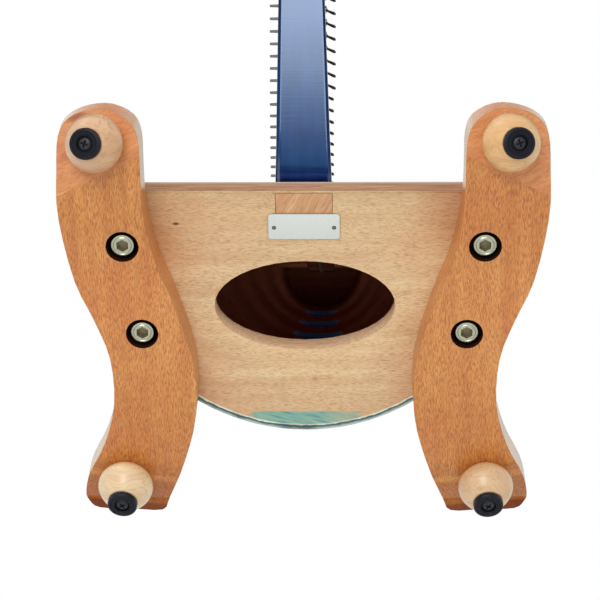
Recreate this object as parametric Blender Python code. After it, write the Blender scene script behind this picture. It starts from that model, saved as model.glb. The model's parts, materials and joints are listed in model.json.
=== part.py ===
# Lever harp: a leaning soundbox on two splayed legs, a pillar, a neck, strings and levers.
# Units are metres. X runs across the harp, the levers being on the +X side of the neck.
# Y runs from the pillar back to the player, and Z is up.
# The harp is drawn square on its bottom board, whose lower face is z = 0 and whose front
# edge is y = 0, and is then set down on its four feet, which tips it a little forward.

from math import atan, cos, pi, radians, remainder, sin, tan

import bmesh
import bpy
from mathutils import Matrix, Vector

mm = 0.001

# Clearances
fit_gap = 0.3 * mm              # between pieces that rest on or pass through each other

# Bottom board and soundbox
board_thickness = 15.0 * mm
edging_depth = 1.5 * mm         # hardwood strip along the front of the board
box_half_width_low = 157.0 * mm
box_depth_low = 190.0 * mm      # from the front edge of the board to the back of the shell
box_half_width_top = 48.0 * mm
box_height = 1040.0 * mm
front_lean = 0.543              # slope of the soundboard: its run back over its rise
back_lean = 0.42                # the same for the line of the back
shell_wall = 4.2 * mm
soundboard_depth = 4.5 * mm     # measured level, front to back
shell_rings = 4
shell_segments = 28

# Access hole in the board
access_half_width = 63.8 * mm
access_half_depth = 34.9 * mm
access_centre_y = 88.7 * mm

# Sound holes in the back, lowest first
sound_hole_count = 5
sound_hole_first_z = 371.0 * mm
sound_hole_last_drop = 117.0 * mm   # from the top of the box to the middle of the last hole
sound_hole_width_low = 64.0 * mm
sound_hole_width_top = 40.0 * mm
sound_hole_height = 76.0 * mm

# Strips and blocks of the soundbox
inner_strip_width = 30.0 * mm
inner_strip_depth = 4.0 * mm
base_block_half_width = 60.0 * mm
base_block_back_y = 51.0 * mm
base_block_top_z = 66.0 * mm
brace_z = 285.0 * mm
brace_height = 14.0 * mm
brace_depth = 16.0 * mm
shoulder_height = 26.0 * mm
shoulder_inset = 6.0 * mm       # how far the top of the shoulder block is drawn in

# Pillar
pillar_width = 39.5 * mm
pillar_depth = 41.5 * mm
pillar_front_y = 0.5 * mm
pillar_corner = 4.0 * mm
pillar_top_z = 1192.0 * mm
pillar_bow = 14.0 * mm          # how far its middle swells forward
pillar_rings = 12
tenon_depth = 16.0 * mm

# Neck
neck_thickness = 32.0 * mm
neck_offset_x = -26.0 * mm      # the neck stands to the left, so that the strings hang central
neck_edge_round = 3.0 * mm
neck_above_pins = 26.0 * mm
neck_swell = 14.0 * mm          # how much deeper it is above the first pin
neck_below_levers = 15.0 * mm
neck_tail_inset = 12.0 * mm     # how far the tail stands in from the back of the box
# Points of the neck's top line, back and up from the pillar's top edge, from the first and
# the last tuning pin, and from the tail's back, level with the last pin
neck_crest = ((-6.0 * mm, 0.0), (-11.0 * mm, 40.0 * mm), (-4.0 * mm, 72.0 * mm))
neck_brow = ((-70.0 * mm, 62.0 * mm),)
neck_tail_near = ((26.0 * mm, 30.0 * mm),)
neck_tail_far = ((-16.0 * mm, 14.0 * mm), (0.0, -18.0 * mm))

# Strings, counted from the longest to the shortest
string_count = 34
last_string_drop = 45.0 * mm    # from the top of the box to the foot of the shortest string
first_string_gap = 51.0 * mm    # from the pillar's back to the longest string
widest_gap = 1.267              # the gap between the two longest over that of the two shortest
string_radius_bass = 1.0 * mm
string_radius_treble = 0.45 * mm
rib_width = 14.0 * mm
rib_depth = 3.0 * mm
rib_margin = 14.0 * mm          # rib left beyond the first and the last string

# Pins
tuning_pin_radius = 2.5 * mm
tuning_pin_key_end = 21.5 * mm  # left of the neck
tuning_pin_reach = 4.0 * mm     # right of the strings
bridge_pin_radius = 1.3 * mm
bridge_pin_reach = 1.6 * mm     # right of the strings
pin_drop_bass = 38.5 * mm       # from tuning pin to bridge pin
pin_drop_treble = 32.5 * mm
pin_line = ((-0.125, 0.06), (0, 0.071), (0.187, 0.032), (0.365, -0.006), (0.514, -0.023),
            (0.634, -0.031), (0.7325, -0.015), (0.808, 0.015), (0.92, 0.08), (1.016, 0.17))
# The harmonic curve of the tuning pins: along and above the straight line from the pillar's
# top to the top of the box, as shares of the way from the first string to the last.

# Levers
semitone = 1 - 2 ** (-1 / 12)   # share of a string's length that its lever takes off
lever_flip = radians(105)       # from off, hanging, to on, with the cam against the string
lever_tilt = radians(38)        # how far a hanging handle leans outward
lever_width = 4.6 * mm
lever_barrel_radius = 2.4 * mm
lever_cam_rise = 1.4 * mm
lever_pin_radius = 0.9 * mm
long_levers = 17                # the bass strings have longer levers
lever_reach_long = 20.0 * mm
lever_reach_short = 16.2 * mm
lever_waist_width = 2.2 * mm
lever_tip_width = 3.2 * mm
lever_waist_depth = 2.2 * mm
lever_tip_depth = 2.6 * mm
cheek_thickness = 1.1 * mm
cheek_reach = 1.6 * mm          # past the lever's pin
cheek_half_height = 4.5 * mm
bracket_floor = 1.6 * mm
fret_radius = 1.1 * mm

# Legs
leg_thickness = 28.0 * mm
leg_edge_round = 2.2 * mm
heel_undercut = 6.0 * mm         # height of the slope cut under the heel's back edge
heel_undercut_depth = 10.0 * mm
heel_undercut_turn = radians(5)  # it runs deeper at the outer end
leg_outline = ((-47.9, -22), (-47.7, -44), (-43, -57), (-29, -64.7), (-13, -64), (1, -57.5),
               (8, -46), (9.3, -25), (9, 10), (1, 55.5), (-11, 86.5), (-20.5, 116.6),
               (-21.6, 153), (-13.5, 185), (-1.5, 210), (3.2, 229), (2.2, 241),
               (-4.5, 251), (-29, 251.3), (-51.2, 251.3), (-57.8, 234), (-71, 198),
               (-79.5, 162), (-79.2, 121), (-67.3, 75.5), (-55.9, 43.2), (-48.8, 8))
# Each pair is the mm outward from the side of the board and the mm back from its front edge.
leg_steps = 3

# Feet: each stands square on a sloping face cut under the end of its leg. Places are given
# as outward from the side of the board, then back from its front edge.
toe_crease = (-17.0 * mm, -22.0 * mm)
toe_tilt = radians(24.5)
toe_heading = radians(28.0)     # outward from straight ahead
toe_foot = (-20.9 * mm, -43.9 * mm)
heel_crease = (-32.0 * mm, 206.0 * mm)
heel_tilt = radians(13.4)
heel_heading = radians(167.0)
heel_foot = (-28.7 * mm, 211.5 * mm)
bun_height = 28.0 * mm
bun_radius = 19.7 * mm
bun_seat_radius = 11.5 * mm
tip_height = 5.0 * mm
tip_radius = 10.5 * mm
tip_edge = 0.7 * mm
tip_dimple_radius = 5.2 * mm
tip_dimple_depth = 2.0 * mm
tip_flat_depth = 0.8 * mm       # how much of a tip is worn flat on the floor
foot_sides = 24

# Leg bolts, placed from the side of the board as the feet are
bolt_front = (-33.2 * mm, 29.4 * mm)
bolt_back = (-44.0 * mm, 96.6 * mm)
bolt_head_radius = 8.0 * mm
bolt_head_height = 10.0 * mm
bolt_head_sink = 2.0 * mm
bolt_shank_radius = 5.0 * mm
bolt_grip_in_board = 11.0 * mm
bolt_socket_across_flats = 8.0 * mm
bolt_socket_depth = 5.0 * mm
counterbore_radius = 11.3 * mm
bolt_sides = 24

# Nameplate, left bare
plate_width = 49.6 * mm
plate_depth = 19.2 * mm
plate_thickness = 1.0 * mm
plate_corner = 2.0 * mm
plate_front_y = 17.1 * mm


# Helpers

def material(name, colour, roughness, metallic=0.0):
    made = bpy.data.materials.new(name)
    made.use_nodes = True
    shader = made.node_tree.nodes["Principled BSDF"]
    shader.inputs["Base Color"].default_value = (*colour, 1.0)
    shader.inputs["Roughness"].default_value = roughness
    shader.inputs["Metallic"].default_value = metallic
    return made


def add_object(name, mesh_maker, look, place=None):
    """Make one named object from a bmesh, with its faces pointing out."""
    bmesh.ops.recalc_face_normals(mesh_maker, faces=mesh_maker.faces)
    mesh = bpy.data.meshes.new(name)
    mesh_maker.to_mesh(mesh)
    mesh_maker.free()
    made = bpy.data.objects.new(name, mesh)
    bpy.context.scene.collection.objects.link(made)
    made.parent = harp
    if place is not None:
        made.matrix_local = place
    if look is not None:
        mesh.materials.append(look)
    return made


def add_cutter(name, mesh_maker, place=None):
    cutter = add_object(name, mesh_maker, None, place)
    cutter.hide_render = True
    cutter.display_type = 'WIRE'
    return cutter


def join_with(target, other, operation):
    modifier = target.modifiers.new(other.name, 'BOOLEAN')
    modifier.operation = operation
    modifier.object = other
    modifier.solver = 'EXACT'


def shade(made, angle=30):
    made.data.shade_smooth()
    made.data.set_sharp_from_angle(angle=radians(angle))


def loft(mesh_maker, loops):
    """Skin closed loops of equal count, each a list of points, and cap both ends."""
    rings = [[mesh_maker.verts.new(point) for point in loop] for loop in loops]
    count = len(rings[0])
    for low, high in zip(rings, rings[1:]):
        for i in range(count):
            j = (i + 1) % count
            mesh_maker.faces.new((low[i], low[j], high[j], high[i]))
    mesh_maker.faces.new(reversed(rings[0]))
    mesh_maker.faces.new(rings[-1])


def prism(mesh_maker, outline, start, end, axis='Z'):
    """A closed outline of two coordinates, drawn out along one axis from start to end."""
    def point(pair, along):
        if axis == 'X':
            return (along, pair[0], pair[1])
        if axis == 'Y':
            return (pair[0], along, pair[1])
        return (pair[0], pair[1], along)
    loft(mesh_maker, [[point(pair, along) for pair in outline] for along in (start, end)])


def box(mesh_maker, low, high):
    outline = ((low[0], low[1]), (high[0], low[1]), (high[0], high[1]), (low[0], high[1]))
    prism(mesh_maker, outline, low[2], high[2])


def circle(radius, sides, centre=(0.0, 0.0), turn=0.0):
    return [(centre[0] + radius * cos(turn + 2 * pi * i / sides),
             centre[1] + radius * sin(turn + 2 * pi * i / sides)) for i in range(sides)]


def rounded_rectangle(half_x, half_y, corner, centre=(0.0, 0.0), steps=3):
    points = []
    for quarter, (side_x, side_y) in enumerate(((1, 1), (-1, 1), (-1, -1), (1, -1))):
        for i in range(steps + 1):
            angle = (quarter + i / steps) * pi / 2
            points.append((centre[0] + side_x * (half_x - corner) + corner * cos(angle),
                           centre[1] + side_y * (half_y - corner) + corner * sin(angle)))
    return points


def turned(mesh_maker, profile, sides):
    """Turn a profile of (radius, distance) pairs round Z and cap its two end rings."""
    loft(mesh_maker, [[(*pair, distance) for pair in circle(radius, sides)]
                      for radius, distance in profile])


def between(low, high, share):
    return low + (high - low) * share


def curve_through(points, steps, closed=True):
    """A smooth curve through its points (Catmull-Rom), closed or with two ends."""
    count = len(points)
    curve = []
    for i in range(count if closed else count - 1):
        near = [i - 1, i, i + 1, i + 2]
        near = [k % count if closed else min(max(k, 0), count - 1) for k in near]
        before, start, end, after = (Vector(points[k]) for k in near)
        for step in range(steps):
            t = step / steps
            curve.append(start + (end - before) * (t / 2)
                         + (before * 2 - start * 5 + end * 4 - after) * (t * t / 2)
                         + (start * 3 - before - end * 3 + after) * (t * t * t / 2))
    return [tuple(point) for point in curve]


def height_on(line, y):
    """The height at y of a smooth line through (y, z) points, y rising."""
    i = max(k for k in range(len(line) - 1) if k == 0 or line[k][0] <= y)
    (y0, z0), (y1, z1) = line[i], line[i + 1]
    before = line[max(i - 1, 0)]
    after = line[min(i + 2, len(line) - 1)]
    slope0 = (z1 - before[1]) / (y1 - before[0])
    slope1 = (after[1] - z0) / (after[0] - y0)
    t = (y - y0) / (y1 - y0)
    run = y1 - y0
    return (z0 * (1 + 2 * t) * (1 - t) ** 2 + slope0 * run * t * (1 - t) ** 2
            + z1 * t * t * (3 - 2 * t) + slope1 * run * t * t * (t - 1))


# The soundbox's lines

def front_y(z):
    """The front face of the soundboard at a height."""
    return edging_depth + front_lean * z


def seat_y(z):
    """The line that the soundboard's back lies on."""
    return front_y(z) + soundboard_depth + fit_gap


def back_y(z):
    return box_depth_low + back_lean * z


def half_width(z):
    return between(box_half_width_low, box_half_width_top, z / box_height)


def box_section(z, inset=0.0, segments=shell_segments):
    """Half an ellipse round the back of the box, from right to left."""
    across = half_width(z) - inset
    deep = back_y(z) - seat_y(z) - inset
    return [(across * cos(pi * i / segments), seat_y(z) + deep * sin(pi * i / segments))
            for i in range(segments + 1)]


# Soundbox pieces

def make_bottom_board():
    inset = shell_wall + fit_gap
    front = edging_depth + fit_gap
    loops = []
    for z in (0.0, board_thickness):
        back = box_section(z, inset)
        across = back[0][0]
        outline = [(across, front)] + back + [(-across, front)]
        loops.append([(x, y, z) for x, y in outline])
    shape = bmesh.new()
    loft(shape, loops)
    board = add_object("bottom_board", shape, looks["board"])
    past = board_thickness

    shape = bmesh.new()
    hole = [(access_half_width * x, access_centre_y + access_half_depth * y)
            for x, y in circle(1.0, 40)]
    prism(shape, hole, -past, board_thickness + past)
    join_with(board, add_cutter("cut_access_hole", shape), 'DIFFERENCE')

    shape = bmesh.new()
    reach = pillar_width / 2 + fit_gap
    box(shape, (-reach, -past, -past), (reach, front + tenon_depth + fit_gap, 2 * past))
    join_with(board, add_cutter("cut_tenon_slot", shape), 'DIFFERENCE')

    for name, (x, y) in bolt_places().items():
        shape = bmesh.new()
        prism(shape, circle(bolt_shank_radius + fit_gap, bolt_sides, (x, y)),
              -past, bolt_grip_in_board + fit_gap)
        join_with(board, add_cutter("cut_board_" + name, shape), 'DIFFERENCE')


def make_front_edging():
    across = half_width(0.0) - shell_wall - fit_gap
    shape = bmesh.new()
    box(shape, (-across, 0.0, 0.0), (across, edging_depth, board_thickness))
    add_object("front_edging", shape, looks["edging"])


def sound_hole_heights():
    last = box_height - sound_hole_last_drop
    return [between(sound_hole_first_z, last, i / (sound_hole_count - 1))
            for i in range(sound_hole_count)]


def make_shell():
    loops = []
    for ring in range(shell_rings + 1):
        z = box_height * ring / shell_rings
        outside = box_section(z)
        inside = box_section(z, shell_wall)
        loops.append([(x, y, z) for x, y in outside + inside[::-1]])
    shape = bmesh.new()
    loft(shape, loops)
    shell = add_object("soundbox_shell", shape, looks["shell"])
    lean = atan(back_lean)
    for i, z in enumerate(sound_hole_heights()):
        share = i / (sound_hole_count - 1)
        across = between(sound_hole_width_low, sound_hole_width_top, share) / 2
        outline = [(across * x, sound_hole_height / 2 * y) for x, y in circle(1.0, 24)]
        shape = bmesh.new()
        prism(shape, outline, -6 * shell_wall, 6 * shell_wall)
        place = (Matrix.Translation((0.0, back_y(z), z))
                 @ Matrix.Rotation(pi / 2 - lean, 4, 'X'))
        cutter = add_cutter("cut_sound_hole_%d" % (i + 1), shape, place)
        join_with(shell, cutter, 'DIFFERENCE')
    shade(shell)


def notch_top_z():
    """Where the soundboard's front passes behind the back of the pillar."""
    return (pillar_front_y + pillar_depth + fit_gap - edging_depth) / front_lean


def make_soundboard():
    low = board_thickness + fit_gap
    side = pillar_width / 2 + fit_gap
    notch = notch_top_z()
    foot_x = pillar_centre(low)[0]
    notch_x = pillar_centre(notch)[0]
    outline = [(half_width(low), low), (half_width(box_height), box_height),
               (-half_width(box_height), box_height), (-half_width(low), low),
               (foot_x - side, low), (notch_x - side, notch),
               (notch_x + side, notch), (foot_x + side, low)]
    loops = [[(x, front_y(z) + back, z) for x, z in outline]
             for back in (0.0, soundboard_depth)]
    shape = bmesh.new()
    loft(shape, loops)
    add_object("soundboard", shape, looks["soundboard"])


def leaning_strip(half_x, offset, depth, low, high):
    """A flat strip that follows the soundboard's lean, offset behind its front face."""
    outline = ((half_x, low), (half_x, high), (-half_x, high), (-half_x, low))
    return [[(x, front_y(z) + offset + back, z) for x, z in outline] for back in (0.0, depth)]


def make_inner_strip():
    low = base_block_top_z + fit_gap
    shape = bmesh.new()
    offset = soundboard_depth + fit_gap
    loft(shape, leaning_strip(inner_strip_width / 2, offset, inner_strip_depth, low,
                              box_height - fit_gap))
    add_object("inner_string_strip", shape, looks["hardwood"])


def make_base_block():
    low = board_thickness + fit_gap
    top = base_block_top_z
    outline = ((seat_y(low), low), (base_block_back_y, low), (base_block_back_y, top),
               (seat_y(top), top))
    shape = bmesh.new()
    prism(shape, outline, -base_block_half_width, base_block_half_width, 'X')
    block = add_object("base_block", shape, looks["hardwood"])
    reach = pillar_width / 2 + fit_gap
    foot_x = pillar_centre(0.0)[0]
    over_x = pillar_centre(2 * top)[0]
    outline = ((foot_x - reach, 0.0), (foot_x + reach, 0.0),
               (over_x + reach, 2 * top), (over_x - reach, 2 * top))
    shape = bmesh.new()
    prism(shape, outline, -pillar_depth, pillar_front_y + pillar_depth + fit_gap, 'Y')
    join_with(block, add_cutter("cut_pillar_foot", shape), 'DIFFERENCE')


def make_brace():
    """A curved brace glued round the inside of the shell, below the first sound hole."""
    loops = []
    for z in (brace_z, brace_z + brace_height):
        outside = box_section(z, shell_wall + fit_gap)[1:-1]
        inside = box_section(z, shell_wall + fit_gap + brace_depth)[1:-1]
        loops.append([(x, y, z) for x, y in outside + inside[::-1]])
    shape = bmesh.new()
    loft(shape, loops)
    add_object("shell_brace", shape, looks["hardwood"])


def make_shoulder_block():
    low = box_height + fit_gap
    loops = []
    for z, inset in ((low, 0.0), (low + shoulder_height * 0.7, 0.0),
                     (low + shoulder_height, shoulder_inset)):
        across = half_width(z) - inset
        front = front_y(z) + inset / 2
        outline = [(across, front)] + box_section(z, inset) + [(-across, front)]
        loops.append([(x, y, z) for x, y in outline])
    shape = bmesh.new()
    loft(shape, loops)
    add_object("shoulder_block", shape, looks["lacquer"])


# Pillar and neck

def pillar_centre(z):
    share = z / pillar_top_z
    y = pillar_front_y + pillar_depth / 2 - pillar_bow * sin(pi * share) ** 2
    return (neck_offset_x * share, y)


def make_pillar():
    low = board_thickness + fit_gap
    loops = []
    for ring in range(pillar_rings + 1):
        z = between(low, pillar_top_z, ring / pillar_rings)
        outline = rounded_rectangle(pillar_width / 2, pillar_depth / 2, pillar_corner,
                                    pillar_centre(z))
        loops.append([(x, y, z) for x, y in outline])
    shape = bmesh.new()
    loft(shape, loops)
    pillar = add_object("pillar", shape, looks["lacquer"])
    shape = bmesh.new()
    reach = pillar_width / 2 - fit_gap
    front = edging_depth + 2 * fit_gap
    box(shape, (-reach, front, 0.0), (reach, front + tenon_depth - fit_gap, low + pillar_corner))
    join_with(pillar, add_cutter("add_tenon", shape), 'UNION')
    shade(pillar)


def offset_from(start, offsets):
    """Points given as back and up from a start point."""
    return [(start[0] + y, start[1] + z) for y, z in offsets]


def neck_outline():
    """The side view of the neck: along the top to the tail, then back under the levers."""
    top_z = pillar_top_z + fit_gap
    tail_z = box_height + shoulder_height + 2 * fit_gap
    tail_front = front_y(tail_z) + shoulder_inset / 2
    tail_back = back_y(tail_z) - neck_tail_inset
    pillar_back = pillar_front_y + pillar_depth
    first = (strings[0]["pin_y"], strings[0]["pin_z"])
    last = (strings[-1]["pin_y"], strings[-1]["pin_z"])
    crest = offset_from((pillar_front_y, top_z), neck_crest) + offset_from(first, neck_brow)
    over = [(s["pin_y"], s["pin_z"] + neck_above_pins + neck_swell * (1 - i / string_count))
            for i, s in enumerate(strings) if i % 3 == 1]
    tail = offset_from(last, neck_tail_near) + offset_from((tail_back, last[1]), neck_tail_far)
    under = [(s["y"], s["lever_z"] - neck_below_levers) for i, s in enumerate(strings)
             if i % 3 == 0][::-1]
    top_line = curve_through(crest + over + tail, 2, closed=False)
    return (top_line + [tail[-1], (tail_back, tail_z), (tail_front, tail_z)] + under
            + [(pillar_back + 2 * neck_edge_round, top_z)])


def make_neck():
    shape = bmesh.new()
    left = neck_offset_x - neck_thickness / 2
    right = neck_offset_x + neck_thickness / 2
    prism(shape, neck_outline(), left, right, 'X')
    neck = add_object("neck", shape, looks["lacquer"])
    bevel = neck.modifiers.new("eased_edges", 'BEVEL')
    bevel.width = neck_edge_round
    bevel.segments = 2
    bevel.limit_method = 'ANGLE'
    bevel.angle_limit = radians(60)

    shape = bmesh.new()
    for s in strings:
        prism(shape, circle(tuning_pin_radius, 6, (s["pin_y"], s["pin_z"])),
              left - tuning_pin_key_end, tuning_pin_reach, 'X')
        prism(shape, circle(bridge_pin_radius, 6, (s["bridge_y"], s["bridge_z"])),
              right - neck_edge_round, bridge_pin_reach, 'X')
    join_with(neck, add_cutter("add_pins", shape), 'UNION')

    shape = bmesh.new()
    inner = lever_width / 2 + fit_gap
    outer = inner + cheek_thickness
    back = right - neck_edge_round
    floor = right + bracket_floor
    reach = lever_pivot_x() + cheek_reach
    for s in strings:
        outline = [(back, s["y"] - outer), (reach, s["y"] - outer), (reach, s["y"] - inner),
                   (floor, s["y"] - inner), (floor, s["y"] + inner), (reach, s["y"] + inner),
                   (reach, s["y"] + outer), (back, s["y"] + outer)]
        under_pin = s["bridge_z"] - bridge_pin_radius - fit_gap
        prism(shape, outline, s["lever_z"] - cheek_half_height,
              min(s["lever_z"] + cheek_half_height, under_pin))
    brackets = add_cutter("add_lever_brackets", shape)

    shape = bmesh.new()
    bite = outer - cheek_thickness / 2
    for s in strings:
        fret_x = -s["radius"] - fit_gap - fret_radius
        for x, radius in ((lever_pivot_x(), lever_pin_radius), (fret_x, fret_radius)):
            prism(shape, circle(radius, 6, (x, s["lever_z"]), pi / 2), s["y"] - bite,
                  s["y"] + bite, 'Y')
    join_with(brackets, add_cutter("add_lever_pins_and_frets", shape), 'UNION')
    join_with(neck, brackets, 'UNION')


# Strings and levers

def string_places():
    """Where each string, its pins and its lever are, from the longest string to the shortest."""
    first_y = pillar_front_y + pillar_depth + first_string_gap
    run = front_y(box_height - last_string_drop) - first_y
    steps = string_count - 2
    gaps = [between(widest_gap, 1.0, i / steps) for i in range(steps + 1)]
    places = []
    for i in range(string_count):
        share = i / (string_count - 1)
        radius = between(string_radius_bass, string_radius_treble, share)
        along = sum(gaps[:i]) / sum(gaps)
        y = first_y + run * along
        pin_y = y + radius + fit_gap + tuning_pin_radius
        straight_z = between(pillar_top_z, box_height, along)
        pin_z = straight_z + run * height_on(pin_line, along)
        bridge_z = pin_z - between(pin_drop_bass, pin_drop_treble, share)
        foot_z = (y - edging_depth) / front_lean
        places.append({
            "y": y, "radius": radius, "pin_y": pin_y, "pin_z": pin_z, "foot_z": foot_z,
            "bridge_y": y - radius - fit_gap - bridge_pin_radius, "bridge_z": bridge_z,
            "lever_z": bridge_z - (bridge_z - foot_z) * semitone})
    return places


def make_strings():
    """The strings and the rib that they rise from."""
    offset = -fit_gap - rib_depth
    low = strings[0]["foot_z"] - rib_margin
    high = strings[-1]["foot_z"] + rib_margin
    shape = bmesh.new()
    loft(shape, leaning_strip(rib_width / 2, offset, rib_depth, low, high))
    made = add_object("strings_on_rib", shape, looks["string"])
    shape = bmesh.new()
    for s in strings:
        foot = s["foot_z"] + (fit_gap + rib_depth / 2) / front_lean
        prism(shape, circle(s["radius"], 4, (0.0, s["y"])), foot, s["pin_z"] + tuning_pin_radius)
    join_with(made, add_cutter("add_strings", shape), 'UNION')


def lever_pivot_x():
    """The pin's place: when a lever is on, its cam all but touches the thickest string."""
    return string_radius_bass + fit_gap + lever_cam_rise + lever_barrel_radius


def lever_shape(reach):
    """A lever about its pin: a barrel with a hole and a cam, and a handle that hangs down."""
    handle = Vector((sin(lever_tilt), 0.0, -cos(lever_tilt)))
    across = Vector((cos(lever_tilt), 0.0, sin(lever_tilt)))
    sides = 12
    angles = [lever_tilt - pi / 2 + 2 * pi * (i + 0.5) / sides for i in range(sides)]
    barrel = []
    for angle in angles:
        from_cam = remainder(angle - pi + lever_flip, 2 * pi)
        swell = max(0.0, cos(from_cam * 1.5))
        barrel.append(lever_barrel_radius + lever_cam_rise * swell ** 2)
    bore = [lever_pin_radius + fit_gap] * sides
    half = lever_width / 2
    shape = bmesh.new()
    rings = [[shape.verts.new((r * cos(a), y, r * sin(a))) for r, a in zip(radii, angles)]
             for y, radii in ((-half, barrel), (half, barrel), (half, bore), (-half, bore))]
    faces = [shape.faces.new((ring[i - 1], ring[i], after[i], after[i - 1]))
             for ring, after in zip(rings, rings[1:] + rings[:1]) for i in range(sides)]
    root = faces[0]
    for along, width, depth in ((2 * lever_barrel_radius, lever_waist_width, lever_waist_depth),
                                (0.85 * reach, lever_tip_width, lever_tip_depth),
                                (reach, lever_waist_width, lever_waist_depth / 2)):
        root = bmesh.ops.extrude_discrete_faces(shape, faces=[root])["faces"][0]
        for corner in root.verts:
            side = 1 if corner.co.y > 0 else -1
            face = 1 if corner.co.dot(across) > 0 else -1
            corner.co = (handle * along + across * (face * depth / 2)
                         + Vector((0.0, side * width / 2, 0.0)))
    return shape


def make_levers():
    for number, s in enumerate(strings, start=1):
        reach = lever_reach_long if number <= long_levers else lever_reach_short
        place = Matrix.Translation((lever_pivot_x(), s["y"], s["lever_z"]))
        add_object("lever_%02d" % number, lever_shape(reach), looks["lever"], place)


# Legs, feet and bolts

def foot_direction(tilt, heading, side):
    """Unit vector down a foot; the heading is measured outward from the pillar's side."""
    return Vector((side * sin(tilt) * sin(heading), -sin(tilt) * cos(heading), -cos(tilt)))


def from_side(place, side):
    """X and Y of a place that is given outward from the side of the board."""
    return (side * (box_half_width_low + place[0]), place[1])


def crease_point(crease, side):
    return Vector((*from_side(crease, side), -leg_thickness))


def foot_seat(foot, crease, direction, side):
    """The point of the sloping face that a foot is centred on."""
    start = Vector((*from_side(foot, side), 0.0))
    drop = (crease_point(crease, side) - start).dot(direction) / direction.z
    return start + Vector((0.0, 0.0, drop))


def slice_off(shape, point, normal):
    """Cut away what lies beyond a plane and close the cut."""
    everything = list(shape.verts) + list(shape.edges) + list(shape.faces)
    cut = bmesh.ops.bisect_plane(shape, geom=everything, plane_co=point, plane_no=normal,
                                 clear_outer=True, dist=1e-6)
    edges = [part for part in cut["geom_cut"] if isinstance(part, bmesh.types.BMEdge)]
    bmesh.ops.holes_fill(shape, edges=edges)


def make_leg(name, side):
    outline = [from_side((x * mm, y * mm), side) for x, y in curve_through(leg_outline, leg_steps)]
    shape = bmesh.new()
    prism(shape, outline, -leg_thickness, -fit_gap)
    for crease, tilt, heading in ((toe_crease, toe_tilt, toe_heading),
                                  (heel_crease, heel_tilt, heel_heading)):
        slice_off(shape, crease_point(crease, side), foot_direction(tilt, heading, side))
    heel_y = max(y for x, y in leg_outline) * mm
    heel_drop = leg_thickness - (heel_y - heel_crease[1]) * tan(heel_tilt)
    undercut = Vector((side * sin(heel_undercut_turn) * heel_undercut, heel_undercut,
                       -heel_undercut_depth))
    slice_off(shape, Vector((from_side(heel_crease, side)[0], heel_y, heel_undercut - heel_drop)),
              undercut.normalized())
    leg = add_object(name, shape, looks["leg"])
    bevel = leg.modifiers.new("eased_edges", 'BEVEL')
    bevel.width = leg_edge_round
    bevel.segments = 2
    bevel.limit_method = 'ANGLE'
    bevel.angle_limit = radians(40)
    for place, (x, y) in bolt_places().items():
        if x * side < 0:
            continue
        shape = bmesh.new()
        prism(shape, circle(bolt_shank_radius + fit_gap, bolt_sides, (x, y)),
              -2 * leg_thickness, leg_thickness)
        join_with(leg, add_cutter("cut_shank_" + place, shape), 'DIFFERENCE')
        shape = bmesh.new()
        prism(shape, circle(counterbore_radius, bolt_sides, (x, y)), -2 * leg_thickness,
              -leg_thickness + bolt_head_sink + bolt_head_height + fit_gap)
        join_with(leg, add_cutter("cut_head_" + place, shape), 'DIFFERENCE')
    shade(leg)


def bolt_places():
    return {"front_left": from_side(bolt_front, -1), "front_right": from_side(bolt_front, 1),
            "back_left": from_side(bolt_back, -1), "back_right": from_side(bolt_back, 1)}


def make_bolts():
    low = -leg_thickness + bolt_head_sink
    for place, (x, y) in bolt_places().items():
        shape = bmesh.new()
        profile = ((bolt_head_radius, low), (bolt_head_radius, low + bolt_head_height),
                   (bolt_shank_radius, low + bolt_head_height),
                   (bolt_shank_radius, bolt_grip_in_board))
        turned(shape, profile, bolt_sides)
        bolt = add_object("leg_bolt_" + place, shape, looks["steel"],
                          Matrix.Translation((x, y, 0.0)))
        shape = bmesh.new()
        corner = bolt_socket_across_flats / 2 / cos(pi / 6)
        prism(shape, circle(corner, 6, (x, y)), low - bolt_head_height,
              low + bolt_socket_depth)
        join_with(bolt, add_cutter("cut_socket_" + place, shape), 'DIFFERENCE')
        shade(bolt)


def bun_profile():
    """A turned bun: seat, full middle, then a taper to the rubber tip."""
    widest = 0.44
    rows = 9
    profile = []
    for i in range(rows + 1):
        share = i / rows
        if share < widest:
            swell = cos(pi / 2 * (1 - share / widest)) ** 0.8
            radius = between(bun_seat_radius, bun_radius, swell)
        else:
            fall = (share - widest) / (1 - widest)
            radius = between(tip_radius + fit_gap, bun_radius, cos(pi / 2 * fall) ** 0.9)
        profile.append((radius, fit_gap + (bun_height - fit_gap) * share))
    return profile


def tip_profile():
    end = bun_height + tip_height
    return ((tip_radius, bun_height + fit_gap), (tip_radius, end - tip_edge),
            (tip_radius - tip_edge, end), (tip_dimple_radius, end),
            (tip_dimple_radius, end - tip_dimple_depth))


def axis_matrix(origin, direction):
    return Matrix.Translation(origin) @ direction.to_track_quat('Z', 'Y').to_matrix().to_4x4()


def lowest_rim_point(seat, direction, up):
    """The point of a tip's end that comes down first."""
    centre = seat + direction * (bun_height + tip_height)
    down = -up
    slope = down - direction * down.dot(direction)
    return centre + slope.normalized() * (tip_radius - tip_edge)


def settle():
    """Find the floor under the toes and heels: a point on it and its upward normal."""
    toe_way = foot_direction(toe_tilt, toe_heading, 1)
    heel_way = foot_direction(heel_tilt, heel_heading, 1)
    toe_seat = foot_seat(toe_foot, toe_crease, toe_way, 1)
    heel_seat = foot_seat(heel_foot, heel_crease, heel_way, 1)
    up = Vector((0.0, 0.0, 1.0))
    for _ in range(6):
        toe = lowest_rim_point(toe_seat, toe_way, up)
        heel = lowest_rim_point(heel_seat, heel_way, up)
        run = heel - toe
        up = Vector((0.0, -run.z, run.y)).normalized()
    return toe + up * tip_flat_depth, up


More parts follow.
